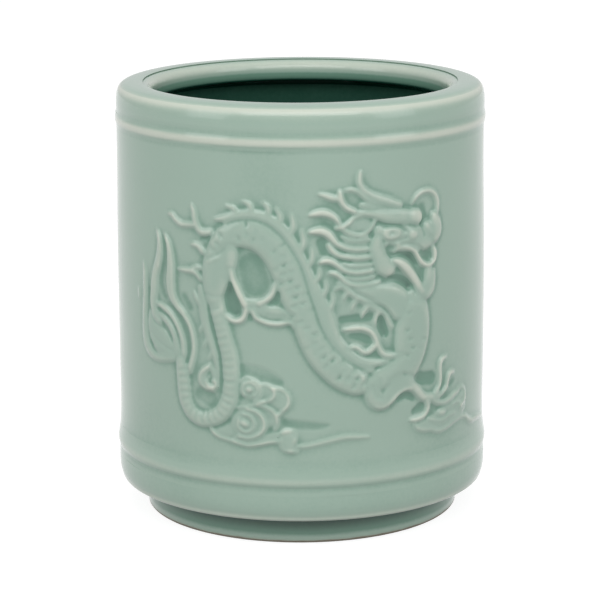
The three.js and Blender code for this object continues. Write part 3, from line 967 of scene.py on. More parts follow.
        self.clay.model(
            "claw_cloud",
            pad(0.65, (33, 31, 1.2), (37, 31, 2.1), (41, 31.6, 2.9), (45, 32.4, 3.3), (49, 33.2, 3.3),
                (50.6, 34.6, 2.4)),
            roll(0.95, (31, 31.9, 0.35), (32.2, 30.5, 0.75), (34.4, 29.7, 0.8), (37, 29.3, 0.7),
                (38.6, 28.6, 0.7), (40.6, 28.3, 0.7), (43, 28.6, 0.7), (45.6, 29.3, 0.65), (48, 29.7, 0.6),
                (50.4, 29.9, 0.65), (52.6, 29.4, 0.7), (54.6, 28.1, 0.85), (57, 27.3, 0.85),
                (60.8, 27, 0.75), (66, 26.4, 0.6), (70, 25.7, 0.3)),
            ridge(0.68, *line(0.6, (48.2, 37.8), (50.2, 37.9), (51.7, 37), (52.1, 35.5), (51.2, 34.1),
                (49.2, 33))),
            ridge(0.68, (40.4, 33.2, 1), (41.4, 33, 1)),
            ridge(0.45, *line(0.5, (36, 32.4), (38.6, 31.4), (41.6, 31), (44, 31.7), (46.6, 31.7))),
            ridge(0.45, *line(0.5, (45.4, 34.4), (47.4, 34.6), (49, 34), (50, 33))),
            cut(0.2, *line(0.35, (37.4, 33.4), (39, 32.2), (41.6, 32), (43.4, 32.8))))

    def tail(self) -> None:
        """Models the plume, the fin and the tail's loop with the plates of its belly."""
        self.clay.model(
            "tail_plume",
            roll(0.5, (-50.5, 64.8, 0.6), (-50.3, 62.8, 0.6)),
            pad(0.75, (-44, 59.6, 1.5), (-43, 56, 3), (-41, 53, 3.7), (-38.6, 51.2, 3.2), (-36, 50.4, 2.6)),
            roll(1, (-47.6, 72.4, 0.35), (-47.1, 69.5, 0.9), (-47.1, 64, 1.1), (-47.4, 58, 1.3),
                (-47.2, 53, 1.6), (-46.2, 50.2, 1.6), (-44, 48.5, 1.3), (-41.4, 48, 1.1), (-38.6, 48.3, 1),
                (-36, 48.8, 1)),
            roll(1.2, (-41.5, 82, 0.4), (-40.6, 79.5, 0.95), (-40.5, 76.5, 1.2), (-41.3, 73, 1.4),
                (-42.5, 70, 1.5), (-43.1, 66, 1.7), (-43.4, 62.4, 1.8), (-42.8, 59.6, 1.5), (-41, 58, 1)),
            roll(1.1, (-42, 60.2, 0.6), (-39.4, 59.2, 0.9), (-36.8, 57.2, 1), (-35, 54, 1.1),
                (-34.2, 50.5, 1.2), (-33.8, 48, 1.4)),
            roll(1.2, (-42, 62.6, 0.6), (-39.4, 62, 0.9), (-36.6, 60.6, 1), (-34.4, 58.2, 1),
                (-32.8, 55, 1), (-32.2, 51.4, 1), (-32.6, 48, 1)),
            roll(1.4, (-38.7, 81.3, 0.4), (-37.4, 79.2, 0.9), (-36.7, 76.6, 1.25), (-36.4, 73, 1.6),
                (-36.6, 69, 1.75), (-36.1, 65.8, 1.6), (-34.4, 63.2, 1.2), (-32.2, 61.2, 1),
                (-30.3, 58.8, 0.95), (-29.2, 55.5, 0.85), (-29, 52, 0.85), (-29.7, 49, 0.95),
                (-30.8, 46.5, 1.2)),
            ridge(0.25, *line(0.5, (-37.8, 80.4), (-36.2, 77.8), (-35.6, 74), (-35.6, 70), (-35.2, 66.2),
                (-33.6, 63.6), (-31.6, 61.6))),
            ridge(0.25, *line(0.5, (-41.1, 81), (-40, 78.4), (-39.9, 75.6), (-40.8, 72.6))),
            cut(0.4, *line(0.42, (-45, 66), (-44.9, 62.4), (-44.5, 59.8), (-43.2, 57.8), (-41.4, 56.8),
                (-39.4, 56.4))),
            cut(0.2, *line(0.35, (-44.6, 54.4), (-41.6, 52.6), (-38.4, 51.4), (-36, 51))),
            cut(0.2, *line(0.35, (-45, 51.8), (-42.4, 50.2), (-39.4, 49.8))))
        self.clay.model(
            "tail_fin",
            pad(0.75, (-26.8, 69, 0.7), (-26.3, 66, 1.3), (-25.9, 62, 1.3), (-25.2, 58.6, 1.1),
                (-23.8, 54.6, 1), (-22.7, 51, 0.75), (-22, 47, 0.5), (-21.9, 43, 0.35), shoulder=0.8),
            roll(0.8, (-27, 64.6, 0.8), (-28.2, 66, 0.7), (-28.9, 67.4, 0.4)),
            roll(0.7, (-25.8, 59.4, 0.7), (-27.2, 57.2, 0.3)),
            roll(0.7, (-24.8, 55.6, 0.6), (-26, 53.4, 0.3)),
            roll(0.7, (-23.6, 52, 0.5), (-24.6, 50.2, 0.3)),
            ridge(0.3, *line(0.35, (-25.2, 67), (-24.9, 63), (-24.3, 59), (-22.9, 55), (-21.9, 51))))
        self.clay.model(
            "tail",
            roll(1.55, *self.tail_path),
            cut(0.25, *line(0.3, (-24.5, 64), (-23.5, 60), (-22.4, 56), (-21.4, 52), (-20.8, 48),
                (-20.7, 44))),
            *self.plates())

    def hind_leg(self) -> None:
        """Models the raised hind claws and the thigh."""
        self.clay.model(
            "hind_claw_1",
            roll(1.1, (-23.6, 83.3, 1), (-26.2, 83.2, 0.95), (-27.6, 84.4, 1), (-28.4, 86.4, 0.85),
                (-28.8, 88.4, 0.7), (-29.7, 90, 0.35)),
            roll(1.05, (-28.2, 84.9, 0.9), (-30.4, 84.7, 0.8), (-32.6, 84.6, 0.85), (-34.4, 85.4, 0.8),
                (-36, 86.7, 0.7), (-37.5, 86.8, 0.3)))
        self.clay.model(
            "hind_claw_2",
            roll(1.1, (-24.4, 77.6, 0.9), (-26, 78.3, 0.9), (-27.2, 79.4, 0.8), (-28.6, 79.8, 0.65),
                (-29.7, 79.6, 0.35)))
        self.clay.model(
            "hind_claw_3",
            roll(0.85, (-25.6, 73.8, 0.6), (-28, 73.8, 0.75), (-30, 73.2, 0.5)),
            roll(1.15, (-26.6, 70.8, 0.6), (-27.8, 72.2, 0.7), (-29.4, 72.8, 0.75), (-31.6, 72.8, 0.65),
                (-34, 72.8, 0.3)))
        self.clay.model(
            "thigh",
            pad(1.55, (-19.6, 83.4, 1.6), (-20.4, 81.2, 3.2), (-20.8, 78.5, 4.1), (-21.6, 75, 4.4),
                (-22.4, 71.5, 3.9), (-22.8, 68.6, 3), (-22.8, 66.2, 2.4), shoulder=3),
            roll(1.75, (-18.6, 82.6, 2.2), (-18.4, 79, 2.3), (-18.6, 76, 2.1), (-18.6, 73.4, 1.5)),
            cut(0.35, *line(0.35, (-24.8, 76.6), (-23.2, 77.1), (-21.4, 77.8))),
            ridge(0.2, *line(0.5, (-24.4, 75.9), (-22.8, 76.4), (-21, 77.2))),
            cut(0.2, *line(0.35, (-25.2, 67.4), (-23, 67), (-20.6, 67.2))),
            cut(0.5, *line(0.6, (-26.4, 81.4), (-25, 81.5), (-24, 82))))

    def body(self) -> None:
        """Models the arched body: its fin and spines, its scales and the line between them."""
        self.clay.model(
            "dorsal_fin",
            pad(1.2, (-22.6, 86.8, 0.4), (-20, 87.2, 1), (-17.2, 87.9, 1.4), (-13.5, 88.4, 1.6),
                (-10, 88.1, 1.6), (-7.4, 87, 1.7), (-5.2, 85.2, 1.8), (-3.3, 82.7, 1.8), (-1.6, 79.8, 1.8),
                (0, 76.8, 1.7), (1.5, 73.3, 1.8), (2.8, 69.8, 2), (4.2, 66.2, 2.4), (5.6, 62.6, 2.7),
                (6.9, 59, 2.4), (8.5, 55.8, 2.2), (10.8, 53.1, 2), (13.5, 51.1, 1.7), (16.4, 49.9, 1.4),
                (19.5, 49.5, 1.2), (23, 49.6, 1), (26, 49.6, 0.5), shoulder=1.2),
            pad(1.2, *line(1.5, (-18.9, 85.5), (-16.8, 86.6), (-13.3, 87.2), (-10.4, 86.8), (-8, 85.9),
                (-5.9, 84.2), (-4, 82.1), (-2.4, 79.4), (-0.8, 77), (0.5, 73.8), (1.3, 70.6), (2.4, 66.8),
                (3.4, 64.6), (4.8, 59.8), (6, 57), (7.2, 54.8), (9, 52.8), (11, 50.6), (13, 49.2),
                (15.5, 48.3), (18, 48)), shoulder=1.3),
            *(roll(1.05, *spine) for spine in self.spines),
            ridge(0.25, *line(0.4, (3.6, 72), (5.4, 69), (7.6, 65.2), (8.9, 61.4), (9.2, 58.4))))
        self.clay.model(
            "body_coil",
            pad(1.7, *self.body_path, shoulder=2.8),
            *self.scales(self.body_path, 1.2, -0.2, 0.8, 4))
        self.clay.model(
            "wall",
            cut(0.28, *line(0.4, (-18.9, 85.7), (-16.8, 86.8), (-13.3, 87.4), (-10.4, 87), (-8, 86.1),
                (-5.9, 84.4), (-4, 82.3), (-2.4, 79.6), (-0.8, 77.2), (0.5, 74), (1.3, 70.8), (2.4, 67),
                (3.2, 65), (4.8, 60), (6, 57.2), (7.2, 55), (9, 53), (11, 50.8), (13, 49.4), (15.5, 48.5),
                (18, 48.2), (21, 48.4), (24, 48.9))))

    def front(self) -> None:
        """Models the flame at the elbow, the spines of the neck and the chest."""
        self.clay.model(
            "elbow_flame",
            pad(0.8, (-15, 66, 0.8), (-13.4, 65, 1.5), (-11, 64.6, 1.6), (-8, 63.6, 1.7), (-5.4, 63.4, 1.6),
                (-3, 62.8, 1.2), shoulder=0.8),
            roll(1, (-14.2, 66, 1.1), (-12.4, 65.8, 1.2), (-10.6, 65.9, 1)),
            roll(1.6, (-18, 74, 1), (-17.4, 71.6, 0.95), (-16.2, 69, 0.9), (-15.2, 67.1, 0.95),
                (-14.2, 65.4, 1)),
            roll(1.4, (-20, 62.5, 0.55), (-18.6, 61.4, 0.65), (-17, 60.9, 0.7), (-15.4, 61.3, 0.75),
                (-14.4, 62.6, 0.75), (-13.9, 64.2, 0.85)),
            roll(1.4, (-12.4, 64, 0.85), (-11.6, 62.4, 0.75), (-10, 61.4, 0.7), (-8, 60.8, 0.7),
                (-5.6, 60.7, 0.7), (-3.6, 61.1, 0.65), (-2.4, 61, 0.6), (-1.8, 59.8, 0.45)),
            roll(1.4, (-10.6, 65.9, 1), (-8.8, 66.8, 0.75), (-7.4, 68.2, 0.7), (-6.7, 70, 0.7),
                (-6, 71.5, 0.65), (-5, 72.1, 0.4)),
            cut(0.6, (-5.5, 68.7, 0.5), (-6.3, 67, 0.8), (-7.6, 65.7, 0.6)),
            cut(0.35, (-13.1, 62.9, 0.4), (-13.1, 61.8, 0.7)),
            cut(0.3, *line(0.5, (-9, 63), (-6.4, 62.6), (-4.2, 62.8))))
        self.clay.model(
            "neck_spines",
            roll(0.95, (9.4, 71.2, 0.5), (11.6, 69.6, 1), (13.6, 67.9, 1.1), (15.8, 66.3, 1.1),
                (18, 64.9, 1.1), (20.4, 63.3, 1.1), (22.4, 61.4, 0.9), (24, 58.6, 0.6)),
            roll(0.9, (10.6, 70.2, 0.8), (9.4, 70, 0.6), (8.5, 69.4, 0.3)),
            roll(0.95, (12.4, 68.8, 0.9), (11.2, 67.8, 0.6), (10.8, 66.6, 0.3)),
            roll(0.95, (14.6, 67, 1), (13.4, 65.4, 0.7), (12.9, 63.9, 0.3)),
            roll(0.95, (17.4, 65, 1), (16.2, 63.4, 0.7), (15.6, 61.8, 0.3)),
            roll(0.95, (20.2, 63.2, 0.9), (19.4, 61.4, 0.6), (19.2, 59.6, 0.3)))
        self.clay.model(
            "chest",
            pad(0.7, (10.6, 80.6, 1.4), (14, 80, 2.8), (16.6, 77.6, 4), (16.6, 74, 3.8), (15, 71.6, 2)),
            pad(1.35, (13.8, 69.8, 1), (16.6, 68.8, 1.8), (20, 67.8, 2.5), (24, 66.2, 3.3), (27, 63.6, 4),
                shoulder=1.8),
            pad(1.75, (31, 66.2, 2.6), (31, 63, 4), (30.6, 59, 5.3), (30.2, 55, 5.5), (29.4, 51, 5),
                (27.6, 47.6, 4.4), (24.4, 45.8, 4), (20.6, 44.8, 3.4), (17.8, 43.6, 2.4), shoulder=3),
            ridge(0.28, *line(0.5, (11.3, 69.6), (13.4, 67.6), (16.4, 66.4), (20.3, 65.2), (23.2, 63.2),
                (24.8, 60.6), (25.4, 57.4))),
            cut(0.22, *line(0.35, (13.6, 66.3), (17, 65.2), (20.4, 63.9), (22.6, 61.9), (23.8, 59.4))),
            hollow(0.8, (21, 61.4, 1), (21.1, 59.4, 1.4), (22, 57, 1.1)),
            *self.scales(self.chest_path, 1.8, -0.3, 0.5, 6),
            ridge(0.2, *line(0.8, (34.3, 62), (34.9, 58), (34.7, 54), (33.6, 50.4), (32, 47), (30.6, 44))))

    def foreleg(self) -> None:
        """Models the foreleg, its four claws and the raised claw."""
        self.clay.model(
            "foreleg",
            pad(1.5, (18.4, 44.4, 2.2), (18.9, 41.6, 2.4), (20.5, 39.5, 2.3), (22.8, 40.4, 2.5),
                (25.4, 43, 2.8), (28.4, 43.4, 2.4), shoulder=1.8),
            roll(1.5, (27.6, 43, 1.6), (30, 42.2, 1.5), (31.8, 40.7, 1.4), (33.2, 39.2, 1.3),
                (35, 38.1, 1.4), (37, 37.8, 1.5), (39, 37.9, 1.2), (41, 38.2, 0.8)),
            ridge(0.5, *line(0.6, (14.2, 46.9), (15.7, 46.3), (16, 44), (16.4, 41.6), (17.3, 39.3),
                (18.8, 37.8), (20.6, 37.3), (22.4, 37.7), (23.8, 39), (25.6, 40.6), (27.6, 41.4),
                (29.4, 41.4))),
            cut(0.25, *line(0.5, (18.4, 43.4), (19.4, 41), (21, 40.2))))
        self.clay.model(
            "fore_claw_1",
            roll(1.35, (35.2, 37.2, 0.9), (35.6, 35.6, 0.9), (35, 34.2, 0.85), (33.8, 33.3, 0.85),
                (32.2, 32.9, 0.8), (30.6, 32.9, 0.6), (29.5, 33, 0.3)))
        self.clay.model(
            "fore_claw_2",
            roll(1.35, (38.4, 38.8, 0.9), (39.8, 40.6, 0.8), (40.2, 42.6, 0.8), (40, 45, 0.8),
                (40.2, 46.6, 0.8), (41.2, 47.6, 0.7), (42.7, 47.8, 0.3)))
        self.clay.model(
            "fore_claw_3",
            roll(1.25, (41, 38.4, 0.8), (42.6, 39.4, 0.75), (43.2, 41, 0.75), (43.8, 42.6, 0.8),
                (44.8, 43.2, 0.75), (46.3, 42.8, 0.3)))
        self.clay.model(
            "fore_claw_4",
            roll(1.15, (37.4, 37, 0.9), (39.6, 36, 0.85), (42, 35.6, 0.85), (44.2, 36, 0.9),
                (46.4, 36.9, 0.9), (48.6, 37.2, 0.5)))
        self.clay.model(
            "raised_claw",
            roll(1.35, (10.4, 58.9, 0.35), (12.4, 59, 0.6), (14.8, 59.1, 0.7), (16.6, 58.7, 0.75),
                (18.2, 57.7, 0.75), (19.3, 56, 0.75), (19.9, 54.4, 0.8), (20.6, 52.8, 0.9), (21.8, 51.5, 1),
                (23.8, 51, 1), (26.4, 50.9, 0.8)),
            roll(1.35, (11.6, 54, 0.35), (13.2, 54.3, 0.7), (14.6, 53.8, 0.75), (15.6, 52.9, 0.85),
                (16.8, 52.6, 0.85), (18, 53.1, 0.85), (19.2, 54.3, 0.85)),
            cut(0.45, (12.8, 57.2, 0.7), (15, 56.8, 1.1), (17.2, 56, 1)))

    def mane(self) -> None:
        """Models the locks of the mane and the ear."""
        self.clay.model(
            "mane_lock_4",
            roll(1.25, (11.4, 72.6, 0.4), (13.6, 71.9, 0.55), (16, 71.8, 0.55), (18.6, 72.1, 0.5)),
            roll(1.45, (7, 73.8, 0.35), (8.6, 73.6, 0.75), (9.9, 72.7, 0.75), (11.2, 71.4, 0.75),
                (13, 70.5, 0.8), (15.4, 70.2, 0.8), (18, 70.3, 0.75), (20.4, 70.8, 0.5)))
        self.clay.model(
            "mane_lock_3",
            roll(1.35, (10.6, 76, 0.4), (12.4, 75.4, 0.6), (15, 75.2, 0.6), (18.2, 75.4, 0.6)),
            roll(1.6, (4.6, 76.5, 0.4), (6.2, 77, 0.85), (7.8, 76.7, 0.95), (9.2, 75.7, 0.85),
                (10.6, 74.5, 0.8), (12.4, 73.8, 0.8), (14.8, 73.5, 0.8), (18.2, 73.8, 0.8)))
        self.clay.model(
            "mane_lock_2",
            roll(1.2, (10.2, 83, 0.35), (12, 82.1, 0.5), (14.4, 81.7, 0.5), (17.6, 81.8, 0.45)),
            roll(1.3, (10.4, 84.7, 0.35), (12, 83.5, 0.5), (14, 82.8, 0.5), (17, 82.6, 0.45)),
            roll(1.5, (6.9, 81, 0.5), (8, 79.4, 0.8), (9.6, 78.2, 0.8), (12, 77.6, 0.8), (14.6, 77.3, 0.8),
                (18.2, 77.4, 0.8)),
            roll(1.7, (2, 84.3, 0.4), (3.8, 84.6, 0.95), (5.4, 84.5, 1.15), (6.9, 83.7, 1.15),
                (8.2, 82.2, 0.95), (9.4, 80.9, 0.8), (11.4, 80, 0.75), (14, 79.5, 0.75), (18, 79.4, 0.7)))
        self.clay.model(
            "mane_lock_1",
            roll(1.5, (2, 88.6, 0.35), (3.6, 89, 0.85), (5.2, 89.2, 1.05), (6.8, 88.9, 1.05),
                (8.4, 88, 0.8), (9.4, 86.8, 0.6), (9.9, 85.8, 0.5)))
        self.clay.model(
            "ear",
            pad(0.6, (13.4, 85.4, 1.5), (16.4, 85.8, 1.9), shoulder=0.8),
            roll(1.4, (8.8, 85.2, 0.45), (10.6, 85.4, 0.65), (12.4, 86.5, 0.65), (13.8, 87.7, 0.55),
                (16.4, 88.1, 0.5)),
            roll(1.3, (10.2, 85, 0.4), (11.8, 84.2, 0.5), (13.6, 83.4, 0.55), (15.6, 83.2, 0.55),
                (17.2, 83.9, 0.55), (18.4, 85.2, 0.55), (19.2, 86.8, 0.6)))

    def head(self) -> None:
        """Models the face and what stands on it."""
        self.clay.model(
            "face",
            pad(1.5, (20.8, 83.4, 2.2), (23.6, 82, 3.6), (27, 81.4, 4), (30.6, 80.9, 3.7), (34, 80.6, 3.2),
                (36.6, 80.6, 2.4), shoulder=2),
            cut(0.7, *line(0.5, (20.8, 85), (23, 84.9), (26, 84.4), (27.8, 83.2))),
            ridge(0.5, (22.6, 82.9, 1), (24.2, 83, 1)),
            ridge(0.55, *line(0.38, (21.3, 82.8), (22, 83.9), (23.6, 84.2), (25.5, 83.8), (25.8, 82.6),
                (24.6, 81.9), (22.6, 81.8), (21.3, 82.8))),
            cut(0.6, (23.4, 83, 0.5), (24, 83, 0.5)),
            cut(0.5, *line(0.42, (20.8, 81.2), (23.6, 80.8), (26, 81), (28, 81.4))),
            cut(1.1, (23, 79.5, 1), (24.2, 79.2, 1)),
            ridge(0.7, (29.8, 82.1, 1.3), (30.2, 82, 1.3)),
            cut(0.55, *line(0.55, (32.9, 84.6), (33.2, 82.8), (33.6, 81.2))),
            cut(0.5, *line(0.45, (26.4, 80), (29, 79.8), (31.6, 78.8), (33, 77.6))),
            moat=0.5)
        self.clay.model(
            "cheek",
            roll(1.85, (19.8, 81.6, 1.6), (19.5, 79.4, 2.2), (20.3, 77, 2.4), (21.4, 75, 2.7),
                (22.6, 74.1, 2.5)),
            cut(0.25, *line(0.35, (21.6, 78), (23, 77.2), (25, 77))))
        self.clay.model(
            "jaw",
            pad(1.5, (35.4, 72, 1.4), (35.3, 69.6, 2), (34.8, 67.4, 2.3), shoulder=1.8),
            roll(1.6, (37.2, 71.8, 0.6), (36.8, 69.4, 1.2), (36, 67.3, 1.7), (34.8, 66.2, 1.8),
                (33, 65.7, 1.5), (30.8, 65.4, 1), (28.8, 65.5, 0.5)),
            roll(1.95, (24.2, 75.9, 0.8), (26, 75.1, 1.2), (27.8, 73.7, 1.4), (29.4, 72, 1.4),
                (30.8, 70.1, 1.4), (32, 68.2, 1.5), (33, 66.8, 1.5)),
            cut(0.8, (23.2, 71.4, 0.6), (25.6, 70.9, 1), (27.8, 69.8, 1.2), (29.6, 68.2, 1.1),
                (30.6, 66.9, 0.7)))
        self.clay.model(
            "lip",
            cut(0.9, (25.4, 77.8, 0.5), (27.4, 77.4, 0.85), (29.2, 76.5, 0.95), (30.6, 75.2, 0.85),
                (31.4, 73.9, 0.5)),
            cut(0.5, (34.4, 76.1, 1.1), (35.6, 75.7, 1.2)),
            roll(1.7, (26, 79, 0.4), (28.6, 78.7, 0.65), (30.6, 77.6, 0.7), (31.8, 75.9, 0.7),
                (33, 74.3, 0.7), (34.6, 73.4, 0.7), (36.4, 73.6, 0.65), (37.5, 74.8, 0.7),
                (37.6, 76.6, 0.7), (37, 77.8, 0.45)))
        self.clay.model(
            "nose",
            roll(1.7, (35, 83.4, 1.6), (36.2, 82, 2)),
            roll(2, (37.4, 86, 1.2), (37.8, 84.1, 2.2), (37.9, 82, 2.4), (37.6, 80.6, 1.8)))
        self.clay.model(
            "brow",
            pad(1, (15.6, 90.6, 0.8), (18.6, 90.4, 1.2), (22, 89.9, 1.3), (25.8, 89.2, 1), shoulder=1),
            pad(1.6, (13.4, 88.9, 0.7), (16.4, 88.6, 1), (19.6, 88.1, 1.5), (23, 87.3, 2.1),
                (26.4, 86.9, 2.3), (29, 86.5, 2.2), shoulder=2),
            roll(2.1, (30.3, 86.5, 2.3), (31.2, 86.3, 2.3)))

    def horns(self) -> None:
        """Models the two horns and the whisker."""
        self.clay.model(
            "horn_long",
            roll(1.1, (11, 94.6, 0.3), (12.8, 94.8, 0.5), (14.4, 94.3, 0.55), (15.6, 93.3, 0.6),
                (17, 92.1, 0.65), (18.8, 91.3, 0.6), (21, 90.7, 0.5)),
            roll(1.3, (15.2, 99, 0.6), (15, 97, 0.8), (15.5, 95.4, 0.9), (16.7, 94, 1), (18.4, 92.9, 1.1),
                (20.8, 91.8, 1.3), (23.4, 90.9, 1.3), (26.2, 90, 1)))
        self.clay.model(
            "horn_forked",
            roll(1.2, (10, 92.6, 0.8), (8.2, 92.8, 0.9), (6.4, 93.4, 0.75), (4.4, 94, 0.35)),
            roll(1.5, (13.8, 89.2, 0.7), (12, 90, 0.75), (10.8, 91.1, 0.8), (10.1, 92.4, 0.95),
                (9.9, 93.8, 0.75), (9.9, 94.8, 0.35)))
        self.clay.model(
            "whisker",
            roll(1.2, (30, 89.8, 0.35), (31.2, 91.3, 0.6), (32.8, 92.3, 0.65), (34.8, 92.7, 0.65),
                (36.8, 92.2, 0.7), (38.2, 90.9, 0.75), (38.8, 88.9, 0.75), (38.6, 86.8, 0.65)))


@dataclass
class WallPanel:
    """The wall and the relief on it, made from one grid so that the glaze runs over both."""

    radius: float
    bore: float
    foot: float
    top: float
    outline: Callable[[np.ndarray], np.ndarray]
    outline_pool: Callable[[np.ndarray], np.ndarray]
    blocks_round: int = 97
    block: int = 16
    fired_share: float = 0.52
    soft: float = 0.36
    pool_reach: float = 1.2
    pool_share: float = 0.9
    gather: float = 0.6
    gather_reach: float = 0.6
    border_give: float = 0.45
    pocket: float = 0.85
    bed: float = 0.8
    bore_rows: int = 10
    # Painted shade: the bore is given a deep glaze depth so that it reads dark.
    bore_shade: float = 0.82
    flat: float = 0.004
    near_sizes: tuple[tuple[int, int], ...] = ((14, 8), (6, 4), (2, 2))
    bent: float = 0.03
    sharp: float = 0.07
    buried_size: int = 8
    cove_size: int = 4
    lower_cove: float = 11.0
    upper_cove: float = 7.0

    def __post_init__(self) -> None:
        """Lays the grid out in whole blocks."""
        self.columns = self.blocks_round * self.block
        self.step = math.tau * self.radius / self.columns
        self.rows = round((self.top - self.foot) / self.step / self.block) * self.block
        self.along = (np.arange(self.columns) - self.columns / 2) * self.step
        self.up = np.linspace(self.foot, self.top, self.rows + 1)
        self.clay = Clay(self.along, self.up)

    def cells(self) -> np.ndarray:
        """Says which piece owns each cell of the grid, without slivers under two cells wide.

        Returns:
            The owner's number for each cell.
        """
        o = self.clay.owner
        right = np.roll(o, -1, axis=1)
        same = (o[:-1] == o[1:]) & (o[:-1] == right[:-1]) & (o[:-1] == right[1:])
        kind = np.where(same, o[:-1], 0)
        inner = self.inner(kind)
        kept = np.zeros(kind.shape, bool)
        for dj in (0, 1):
            for di in (0, 1):
                kept |= np.roll(inner[dj:len(inner) - 1 + dj], -di, axis=1)
        return np.where(kept, kind, 0)

    @staticmethod
    def inner(kind: np.ndarray) -> np.ndarray:
        """Finds the grid points whose four cells all belong to one piece of the relief.

        Args:
            kind: the owner of each cell.

        Returns:
            A flag for each grid point.
        """
        closed = np.pad(kind, ((1, 1), (0, 0)))
        left = np.roll(closed, 1, axis=1)
        same = (closed[:-1] == closed[1:]) & (closed[:-1] == left[:-1]) & (closed[:-1] == left[1:])
        return same & (closed[:-1] > 0)

    def eased(self, kind: np.ndarray) -> tuple[np.ndarray, np.ndarray]:
        """Rounds off the stepped borders between pieces.

        Args:
            kind: the owner of each cell.

        Returns:
            Places along and up the wall for every grid point.
        """
        a = np.broadcast_to(self.along, (self.rows + 1, self.columns)).copy()
        u = np.broadcast_to(self.up[:, None], a.shape).copy()
        closed = np.pad(kind, ((1, 1), (0, 0)), mode="edge")
        level = (closed[:-1] != closed[1:]).astype(float)
        upright = np.zeros(a.shape)
        upright[:-1] = kind != np.roll(kind, 1, axis=1)
        links = level + np.roll(level, 1, axis=1) + upright + np.roll(upright, 1, axis=0)
        bordered = links > 0
        da, du = np.zeros(a.shape), np.zeros(a.shape)
        for _ in range(6):
            for shift, reach_a, reach_u in ((da, self.step, 0.0), (du, 0.0, self.step)):
                pull = (level * (np.roll(shift, -1, axis=1) + reach_a)
                        + np.roll(level, 1, axis=1) * (np.roll(shift, 1, axis=1) - reach_a)
                        + upright * (np.roll(shift, -1, axis=0) + reach_u)
                        + np.roll(upright, 1, axis=0) * (np.roll(shift, 1, axis=0) - reach_u))
                shift[bordered] = (shift[bordered] + pull[bordered] / links[bordered]) / 2
        limit = self.border_give * self.step
        return a + np.clip(da, -limit, limit), u + np.clip(du, -limit, limit)

    def sampled(self, values: np.ndarray, a: np.ndarray, u: np.ndarray) -> np.ndarray:
        """Reads a grid of values between its points.

        Args:
            values: the grid.
            a: places along the wall.
            u: places up the wall.

        Returns:
            A value for each place.
        """
        x = (a - self.along[0]) / self.step
        y = np.clip((u - self.foot) / (self.up[1] - self.up[0]), 0, self.rows - 1e-6)
        i, j = np.floor(x).astype(int), np.floor(y).astype(int)
        fx, fy = x - i, y - j
        i, k = i % self.columns, (i + 1) % self.columns
        return ((values[j, i] * (1 - fx) + values[j, k] * fx) * (1 - fy)
                + (values[j + 1, i] * (1 - fx) + values[j + 1, k] * fx) * fy)

    def survey(self) -> None:
        """Works out the glazed surface: the pieces' cells, places, heights, glaze depths and normals."""
        surface = softened(self.clay.height * self.fired_share, self.soft, self.step) + self.waviness()
        pool = self.pool_share * (softened(surface, self.pool_reach, self.step) - surface)
        pool += self.gather * np.clip(-softened(surface, self.gather_reach, self.step), 0, None)
        pool += self.outline_pool(np.column_stack([self.up, self.up]))[:, None]
        self.kind = self.cells()
        self.a, self.u = self.eased(self.kind)
        ground = self.outline(self.u) - self.radius
        self.height = self.sampled(surface, self.a, self.u) + ground
        self.pool = self.sampled(pool, self.a, self.u)
        standing = surface + self.outline(self.up)[:, None]
        slope_up = np.gradient(standing, self.up[1] - self.up[0], axis=0)
        wide = np.pad(surface, ((0, 0), (1, 1)), mode="wrap")
        slope_along = (wide[:, 2:] - wide[:, :-2]) / (2 * self.step)
        rise_a, rise_u = self.sampled(slope_along, self.a, self.u), self.sampled(slope_up, self.a, self.u)
        angle = self.a / self.radius
        shrink = self.radius / (self.radius + self.height)
        normal = np.stack([
            -rise_a * shrink * np.cos(angle) + np.sin(angle),
            -rise_a * shrink * np.sin(angle) - np.cos(angle),
            -rise_u], axis=-1)
        self.normal = normal / np.linalg.norm(normal, axis=-1)[..., None]

    def waviness(self) -> np.ndarray:
        """Works out the slight unevenness that throwing and firing leave.

        Returns:
            Its height in mm at each grid point.
        """
        turn = self.along[None, :] / self.radius
        up = self.up[:, None]
        return (0.035 * np.sin(3 * turn + up / 19 + 0.4) + 0.025 * np.sin(7 * turn - up / 13 + 1.1)
                + 0.015 * np.sin(11 * turn + up / 7 + 2.3) * np.sin(up / 9))

    def points(self, numbers: np.ndarray, height: np.ndarray) -> np.ndarray:
        """Flat places of grid points, as (along, -height, up) in metres.

        Args:
            numbers: the grid points' numbers.
            height: their heights over the wall's radius.

        Returns:
            One place a row.
        """
        return np.column_stack([self.a.ravel()[numbers], -height, self.u.ravel()[numbers]]) * MM

    def corners(self, j: np.ndarray, i: np.ndarray, n: int = 1) -> np.ndarray:
        """Numbers of the four corners of square cells.

        Args:
            j: their lower rows.
            i: their left columns.
            n: their size.

        Returns:
            Four numbers a row, in an order that faces outwards.
        """
        k = (i + n) % self.columns
        low, high = j * self.columns, (j + n) * self.columns
        return np.column_stack([low + i, low + k, high + k, high + i])

    def relief_mesh(self, name: str) -> tuple[bpy.types.Mesh, np.ndarray]:
        """Makes one piece of the relief: its glazed face, and a bed that meets it at the border.

        Args:
            name: the piece's name.

        Returns:
            The flat mesh, and the normal wanted at each point.
        """
        mine = self.kind == self.clay.names.index(name)
        cells = self.corners(*np.nonzero(mine))
        used, face = np.unique(cells, return_inverse=True)
        face = face.reshape(cells.shape)
        inner = self.inner(mine.astype(int)).ravel()[used]
        bed = np.arange(len(used))
        bed[inner] = len(used) + np.arange(inner.sum())
        ground = (self.outline(self.u.ravel()[used[inner]]) - self.radius)
        points = np.vstack([
            self.points(used, self.height.ravel()[used]), self.points(used[inner], ground - self.bed)])
        pool = np.concatenate([self.pool.ravel()[used], np.zeros(inner.sum())])
        normal = self.normal.reshape(-1, 3)[used]
        normal = np.vstack([normal, -normal[inner]])
        return plain_mesh(name, points, [np.vstack([face, bed[face][:, ::-1]])], pool), normal

